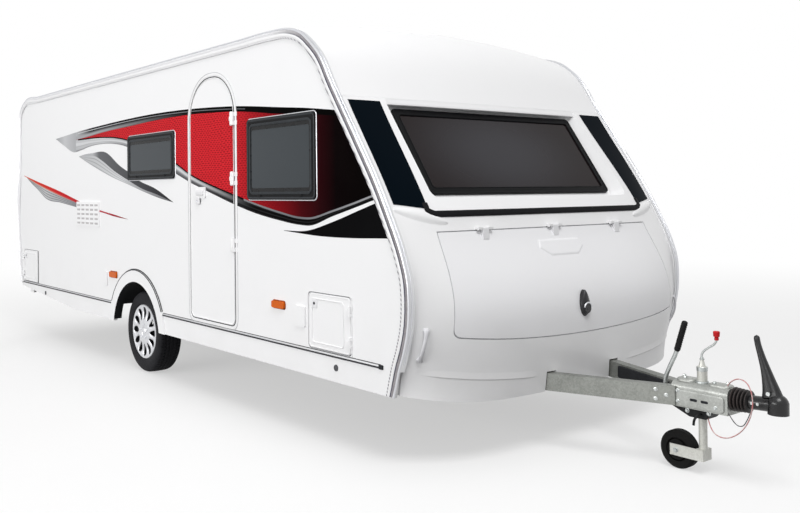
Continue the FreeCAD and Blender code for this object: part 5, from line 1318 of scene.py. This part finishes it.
# Handbrake lever
# Bent zinc-plated tube on a cross bracket between the beams, drawn up to put the brake on, with a ribbed
# black grip.
def ringed(line, wide, side, high, over, sides):
    """Grid of ellipses round a line, their two half axes along side and over."""
    a = circle(sides)[None, :, None]
    return (line[:, None] + (wide * side)[:, None] * np.cos(a) + (high * over)[:, None] * np.sin(a))


def tube_grid(points, r, count=60, sides=16):
    """Round tube along a smooth line through points; r is a radius or one for each place."""
    line = along(points, count)
    way = unit(np.gradient(line, axis=0))
    side = unit(np.cross(way, (0, 0.9, 0.43)))
    r = np.broadcast_to(r, count)[:, None]
    return ringed(line, r, side, r, np.cross(way, side), sides)


lever_line = [(3.301, 0, 0.382), (3.2995, 0, 0.473), (3.320, 0, 0.524), (3.362, 0, 0.613), (3.392, 0, 0.706),
              (3.420, 0, 0.795)]
brake = surface("handbrake_tube", tube_grid(lever_line[:5], 0.0115), zinc_plated, "tube")
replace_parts(brake, "handbrake_lever")
q = np.linspace(0, 1, 120)
grip_r = 0.0160 + 0.0009 * np.sign(np.sin(q * 2 * math.pi * 14)) * (q > 0.08) * (q < 0.92)
grip_end = np.sqrt(np.clip(1 - ((q - 0.94) / 0.06).clip(0, 1) ** 2, 0.001, 1))
grip_r = grip_r * grip_end * np.clip(0.75 + q * 6, 0, 1)
grip_line = along(lever_line, 200)[118:]
grip_rubber = moulded("grip_rubber", "161617", "242425", 0.6, grain=0.8)
surface("handbrake_grip", tube_grid(grip_line[::8], grip_r, 120, 20), grip_rubber, "tube")
bracket = slab((3.301, 0, 0.372), (1, 0, 0), ACROSS, (0.026, 0.0790), 0.006, 0.020, 0.003)
surface("handbrake_bracket", bracket, zinc, "tube")


# Jockey wheel
# Its plated outer tube is clamped in a black cast bracket under the housing. The winding rod bends up to a red
# knob; the inner tube ends in a single-sided galvanised arm for a solid rubber wheel.
paint(zinc_pale, "jockey_outer_tube", "jockey_fork", "jockey_stem")
cast_black = moulded("cast_black", "1B1C1D", "2B2C2D", 0.5, 30.0, 1.0)
paint(cast_black, "jockey_clamp")
jockey_rubber = moulded("jockey_tyre", "0E0E0E", "191817", 0.66, 24.0, 1.0)
paint(jockey_rubber, "jockey_wheel")
rod_line = [(JOCKEY_X, 0, 0.598), (3.5115, 0, 0.628), (3.522, 0, 0.645), (3.550, 0, 0.668), (3.578, 0, 0.688),
            (3.590, 0, 0.704), (3.593, 0, 0.732)]
crank = surface("jockey_rod", tube_grid(rod_line, 0.0058), zinc_plated, "tube")
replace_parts(crank, "jockey_crank")
knob_red = moulded("knob_red", "D22B2E", "B92126", 0.35, 40.0, 0.2)
knob = turned([(0.0, 0.0), (0.0, 0.010), (0.006, 0.0115), (0.016, 0.010), (0.020, 0.0155), (0.043, 0.0170),
               (0.047, 0.0140), (0.048, 0.0)], (3.593, 0, 0.712), UP, 28)
surface("jockey_knob", knob, knob_red, "lathe")
sleeve = turned([(0.0, 0.0262), (0.0, 0.0275), (0.020, 0.0280), (0.022, 0.0262)], (JOCKEY_X, 0, 0.541), UP)
neck = turned([(0.0, 0.0), (0.0, 0.0125), (0.004, 0.0130), (0.006, 0.0090), (0.012, 0.0085), (0.013, 0.0)],
              (JOCKEY_X, 0, 0.600), UP, 28)
joined("jockey_neck", [neck], zinc_plated, "lathe")
surface("jockey_sleeve", sleeve, zinc_plated, "loop")
AXLE_X, AXLE_Z = 3.378, 0.103
for label, s, high in (("nut", -1, 0.010), ("bolt", 1, 0.008)):
    bolts(f"fork_{label}", [(AXLE_X, s * 0.0425, AXLE_Z)], (0, s, 0), 0.011, high, zinc_plated, "jockey_fork")
hub_discs = [turned([(0.028, 0.0), (0.028, 0.052), (0.0312, 0.054), (0.0318, 0.050), (0.0300, 0.044), (0.0300, 0.026),
                     (0.0325, 0.022), (0.0325, 0.0)], (AXLE_X, 0, AXLE_Z), (0, s, 0), 40) for s, _ in SIDES]
joined("jockey_hub_discs", hub_discs, jockey_rubber, "lathe", "jockey_wheel")
clamp_rod = tube_grid([(3.530, -0.050, 0.325), (3.530, -0.072, 0.325), (3.528, -0.088, 0.318), (3.520, -0.096, 0.300),
                       (3.516, -0.098, 0.272)], 0.0065, 40)
surface("clamp_handle", clamp_rod, cast_black, "tube")
bolts("clamp_bolts", [(3.455, -0.0522, 0.330), (3.575, -0.0522, 0.336)], (0, -1, 0), 0.009, 0.009, zinc_plated)


# Breakaway cable and brake wire
# A thin red plastic-coated cable loops from the housing past the gaiter to the clamp, 0.70 m, and a short dark
# wire of 0.21 m runs under the gaiter. Both are fixed at both ends.
def cord(name, points, radius, material):
    """Open NURBS spline through its route's control points, with a round bevel."""
    line = bpy.data.curves.new(name, "CURVE")
    line.dimensions = "3D"
    spline = line.splines.new("NURBS")
    spline.points.add(len(points) - 1)
    spline.points.foreach_set("co", stacked(*points.T, 1.0).ravel())
    spline.order_u = 3
    spline.use_endpoint_u = True
    spline.resolution_u = 12
    line.bevel_depth = radius
    line.bevel_resolution = 4
    line.use_fill_caps = True
    line.materials.append(material)
    made = placed(name, line)
    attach(made, "caravan")
    return made


cable_route = millimetres((3648, -13, 474), (3668, -24, 508), (3735, -50, 548), (3800, -72, 530), (3822, -75, 440),
                          (3800, -75, 345), (3745, -74, 268), (3665, -72, 226), (3586, -58, 248), (3561, -35, 308))
wire_route = millimetres((3678, -50, 359), (3702, -51, 322), (3735, -52, 300), (3768, -48, 318), (3788, -24, 403))
cable = cord("breakaway_line", cable_route, 0.003, moulded("cable_red", "C4787A", "D9C9C6", 0.4, 60.0, 0.3))
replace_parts(cable, "breakaway_cable")
wire = cord("brake_line", wire_route, 0.0025, moulded("wire_grey", "4A4A4C", "6A6A6C", 0.45))
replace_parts(wire, "brake_wire")


# Grab handles, bumper and back
# Moulded grab handles on the lower front corners. At the back are two more, three round lamps a side, a high
# brake light, and a deep bumper with dark inserts and a blank plate panel.
handle_white = moulded("handle_white", "DDDDE0", "D2D2D6", 0.4, mirror=0.4)
GRAB_Y, GRAB_LOW, GRAB_LONG = 1.162, 0.596, 0.168
handles = []
t = np.linspace(0, 1, 61)
for s, side in SIDES:
    skin_place, way = on_front(s * (GRAB_Y - 0.010 * t), GRAB_LOW + GRAB_LONG * t)
    rise = 0.029 * np.clip(4 * t * (1 - t), 0, 1) ** 0.45 - 0.005
    thick = 0.0078 + 0.0072 * np.abs(2 * t - 1) ** 6
    sweep = skin_place + rise[:, None] * way
    run = np.gradient(sweep, axis=0)
    beside = unit(np.cross(run, way))
    grid = ringed(sweep, 1.35 * thick[:, None], beside, 0.85 * thick[:, None], unit(np.cross(beside, run)), 20)
    handles.append(surface(f"handle_{side}", grid, handle_white, "tube"))
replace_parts(merged("grab_handle_pair", handles), "grab_handles")
paint(moulded("locker_board", "8A7F70", "7C7264", 0.7, 12.0, 1.0), "locker_bulkhead", "floor")


back_skin = skins("rear_panel", "rear_lamps", "rear_bumper")


def on_back(y, z):
    """Place on the back at y and z, seen from behind, and the skin's outward direction there."""
    spot, way = back_skin((-5.0, y, z), (1, 0, 0))
    return np.array(spot), np.array(way) * (-1 if way.x > 0 else 1)


lamp_clear = moulded("lamp_clear", "D8D9DB", "C4C5C8", 0.12, 90.0, 0.2, mirror=0.5)
LAMP_Y, LAMP_HEIGHTS = 1.055, (0.690, 0.800, 0.910)
bezels = []
for s, side in SIDES:
    for z, (lens, label) in zip(LAMP_HEIGHTS, ((lamp_clear, "reversing"), (red_lens, "brake"), (amber, "turn"))):
        spot, way = on_back(s * LAMP_Y, z)
        dome = turned([(-0.006, 0.0), (-0.006, 0.0420), (0.004, 0.0410), (0.009, 0.0360), (0.013, 0.0240),
                       (0.0145, 0.0110), (0.015, 0.0)], spot, way, 40)
        surface(f"{label}_lens_{side}", dome, lens, "lathe")
        bezels.append(turned([(-0.006, 0.0415), (-0.006, 0.0490), (0.006, 0.0480), (0.008, 0.0450), (0.005, 0.0415)],
                             spot, way, 40))
joined("lens_bezels", bezels, trim_dark, "loop")
spot, way = on_back(0.0, 2.250)
brake_bar = slab(spot, ACROSS, np.cross(way, ACROSS), (0.160, 0.014), 0.012, 0.010, 0.005)
surface("high_brake_light", brake_bar, red_lens, "tube")
BUMPER_X, BUMPER_Z = -3.930, 0.472
plate = slab((BUMPER_X, 0, BUMPER_Z), (0, -1.0, 0), UP, (0.262, 0.050), 0.008, 0.004, 0.002)
surface("blank_plate_panel", plate, cover_white, "tube")
inserts = [slab((BUMPER_X, s * 0.700, BUMPER_Z), (0, -1.0, 0), UP, (0.370, 0.014), 0.012, 0.005, 0.003)
           for s, _ in SIDES]
joined("bumper_inserts", inserts, trim_dark, "tube")
REAR_GRAB_Y, REAR_GRAB_LOW, REAR_GRAB_LONG = 0.80, 0.690, 0.220
rear_handles = []
t = np.linspace(0, 1, 41)
rise = 0.036 * np.clip(4 * t * (1 - t), 0, 1) ** 0.4 - 0.004
for s, _ in SIDES:
    found = [on_back(s * REAR_GRAB_Y, z) for z in REAR_GRAB_LOW + REAR_GRAB_LONG * t]
    skin_place, way = np.array(found).swapaxes(0, 1)
    rear_handles.append(carried(skin_place + rise[:, None] * way, full_round(0.0105), ACROSS))
joined("rear_handles", rear_handles, handle_white, "tube")


# Seats and bed
# Foam cushions in woven covers with piping round both edges: two side benches, the front bench and the mattress
# at the back. They lie on the cabinets, crowned on top and pulled in a little between their corners.
def cushion(name, x0, x1, y0, y1, z0, height, cloth):
    """Closed grid of rounded outlines: rows go from the middle of the base out, up the bulging side, and in over the
    crowned top. Between the corners the sides pull in by a share of the cosine along them."""
    middle, half = np.array((x0 + x1, y0 + y1)) / 2, np.array((x1 - x0, y1 - y0)) / 2
    rows = [(0.97, 0.0), (0.5, 0.0), (0.02, 0.0), (0.0, 0.10), (-0.008, 0.35), (-0.010, 0.55), (-0.006, 0.80),
            (0.0, 0.94), (0.035, 1.04), (0.12, 1.10), (0.30, 1.17), (0.55, 1.22), (0.97, 1.24)]
    grid = []
    for inset, rise in rows:
        reach = half - max(inset, 0) * half.min() - min(inset, 0)
        ring = outline(reach[0], reach[1], min(0.055, reach.min() * 0.9), 9)
        pull = 1 - 0.014 * np.cos(ring / reach * math.pi / 2)[:, ::-1]
        grid.append(stacked(*(middle + ring * pull).T, z0 + rise * height))
    grid = np.array(grid)
    pad = surface(f"{name}_pad", grid, cloth, "tube")
    piping = [carried(grid[row], full_round(0.0045, steps=8), UP, closed=True) for row in (3, 7)]
    joined(f"{name}_piping", piping, piping_cloth, "loop")


tree, shader, seat_cloth = finish("seat_cloth", mirror=0.2)
weave = tree.nodes.new("ShaderNodeTexWave")
weave.bands_direction = "X"
weft = tree.nodes.new("ShaderNodeTexWave")
weft.bands_direction = "Y"
for node in (weave, weft):
    tree.links.new(place(tree), node.inputs["Vector"])
    node.inputs["Scale"].default_value = 160.0
threads = times(tree, weave.outputs["Fac"], weft.outputs["Fac"])
mixed = plus(tree, times(tree, threads, 0.5), times(tree, noise(tree, place(tree), 12.0, 4.0), 0.6))
tree.links.new(blended(tree, mixed, tone("5E5A55"), tone("8A857D")), shader["Base Color"])
tree.links.new(spread(tree, mixed, 0.0, 1.0, 0.95, 0.8), shader["Roughness"])
tree.links.new(add(tree, "Bump", 0.4, 0.0008, None, threads), shader["Normal"])
piping_cloth = moulded("piping_cloth", "3E3B38", "4A4744", 0.85, 80.0, 1.0)
for name, *box in (("bench_right", 1.256, 1.634, -1.205, -0.568, 1.005, 0.10),
                   ("bench_left", 1.256, 1.634, 0.568, 1.205, 1.005, 0.10),
                   ("bench_front", 1.660, 2.130, -0.950, 1.200, 1.005, 0.10),
                   ("mattress", -3.740, -2.410, -0.560, 1.190, 1.055, 0.12)):
    cushion(name, *box, seat_cloth)


# Cabinets inside
# Plain light wood-grain boards without handles or edges: they are seen through the doorway and, dimly, through
# the panes.
wood, wood_in, wood_out = group(
    "board_grain", [("Light", "colour", (1, 1, 1, 1)), ("Dark", "colour", (1, 1, 1, 1))],
    [("Color", "colour"), ("Roughness", "value")])
spot = place(wood)
stretched = add(wood, "VectorMath", spot, (1.2, 9.0, 9.0), out=0, operation="MULTIPLY")
veins = spread(wood, noise(wood, stretched, 3.0, 6.0, 0.6), 0.3, 0.7)
wood.links.new(blended(wood, veins, wood_in["Dark"], wood_in["Light"]), wood_out["Color"])
wood.links.new(add(wood, "MapRange", veins, 0.0, 1.0, 0.5, 0.36), wood_out["Roughness"])
tree, shader, cabinet = finish("cabinet_wood")
wear(tree, shader, use(tree, wood, Light=tone("C9B79A"), Dark=tone("A48E6E")))
paint(cabinet, "furniture")


# Floor, light and camera
# Pale studio floor and a plain white surround; one large lamp ahead of the door side and softer fill lamps.
def lamp(name, at, to, size, power):
    data = bpy.data.lights.new(name, "AREA")
    data.shape = "RECTANGLE"
    data.size, data.size_y = size
    data.energy = power
    made = placed(name, data)
    made.location = at
    made.rotation_euler = (Vector(to) - Vector(at)).to_track_quat("-Z", "Y").to_euler()


def seen(tree):
    """1 for rays that come from the camera, a mirror or through glass, 0 for light that spreads."""
    path = tree.nodes.new("ShaderNodeLightPath").outputs
    either = maths(tree, "MAXIMUM", path["Is Camera Ray"], path["Is Glossy Ray"])
    return maths(tree, "MAXIMUM", either, path["Is Transmission Ray"])


studio = bpy.data.worlds.new("studio")
bpy.context.scene.world = studio
studio.use_nodes = True
tree = studio.node_tree
surround = tree.nodes["Background"].inputs
tree.links.new(add(tree, "MapRange", seen(tree), 0.0, 1.0, 0.46, 1.0), surround["Strength"])
surround["Color"].default_value = (1, 1, 1, 1)
lamp("key", (6.5, -3.0, 8.5), (1.5, 0, 1.2), (5, 4), 490)
lamp("side_fill", (-1.0, -12.0, 2.8), (-0.6, 0, 1.0), (12, 3), 840)
lamp("back_fill", (-11.0, 8.0, 5.0), (-1.0, 0, 1.2), (6, 4), 620)

tree, shader, floor_paint = finish("floor_paint")
shader["Roughness"].default_value = 0.9
base = blended(tree, noise(tree, place(tree), 0.8, 2.0), tone("F6F6F6"), tone("F2F2F2"))
tree.links.new(blended(tree, seen(tree), tone("6C6C6C"), base), shader["Base Color"])
glow = tree.nodes.new("ShaderNodeEmission")
mix = tree.nodes.new("ShaderNodeMixShader")
from_middle = add(tree, "VectorMath", place(tree), out=1, operation="LENGTH")
tree.links.new(times(tree, seen(tree), spread(tree, from_middle, 3.0, 14.0, 0.5, 1.0)), mix.inputs[0])
tree.links.new(tree.nodes["Principled BSDF"].outputs[0], mix.inputs[1])
tree.links.new(glow.outputs[0], mix.inputs[2])
tree.links.new(mix.outputs[0], tree.nodes["Material Output"].inputs[0])
span = np.linspace(-60, 60, 9)
ground = surface("studio_floor", stacked(span[:, None], span[None, :], -0.0005), floor_paint, out=UP)

EYE = Vector((6.046, -4.344, 1.506))
YAW, PITCH, ROLL = (math.radians(v) for v in (-53.74, 0.64, -0.59))
ahead = Vector((math.sin(YAW) * math.cos(PITCH), math.cos(YAW) * math.cos(PITCH), math.sin(PITCH)))
right = Vector((math.cos(YAW), -math.sin(YAW), 0))
above = right.cross(ahead)
tilted_right = right * math.cos(ROLL) + above * math.sin(ROLL)
tilted_up = above * math.cos(ROLL) - right * math.sin(ROLL)
view = bpy.data.cameras.new("view")
view.lens = 39.3
view.sensor_width = 36.0
view.shift_x = 0.10
view.shift_y = -0.0934
view.clip_end = 200
camera = placed("view", view)
camera.matrix_world = Matrix.Translation(EYE) @ Matrix((tilted_right, tilted_up, -ahead)).transposed().to_4x4()
bpy.context.scene.camera = camera
bpy.context.scene.view_settings.view_transform = "Standard"
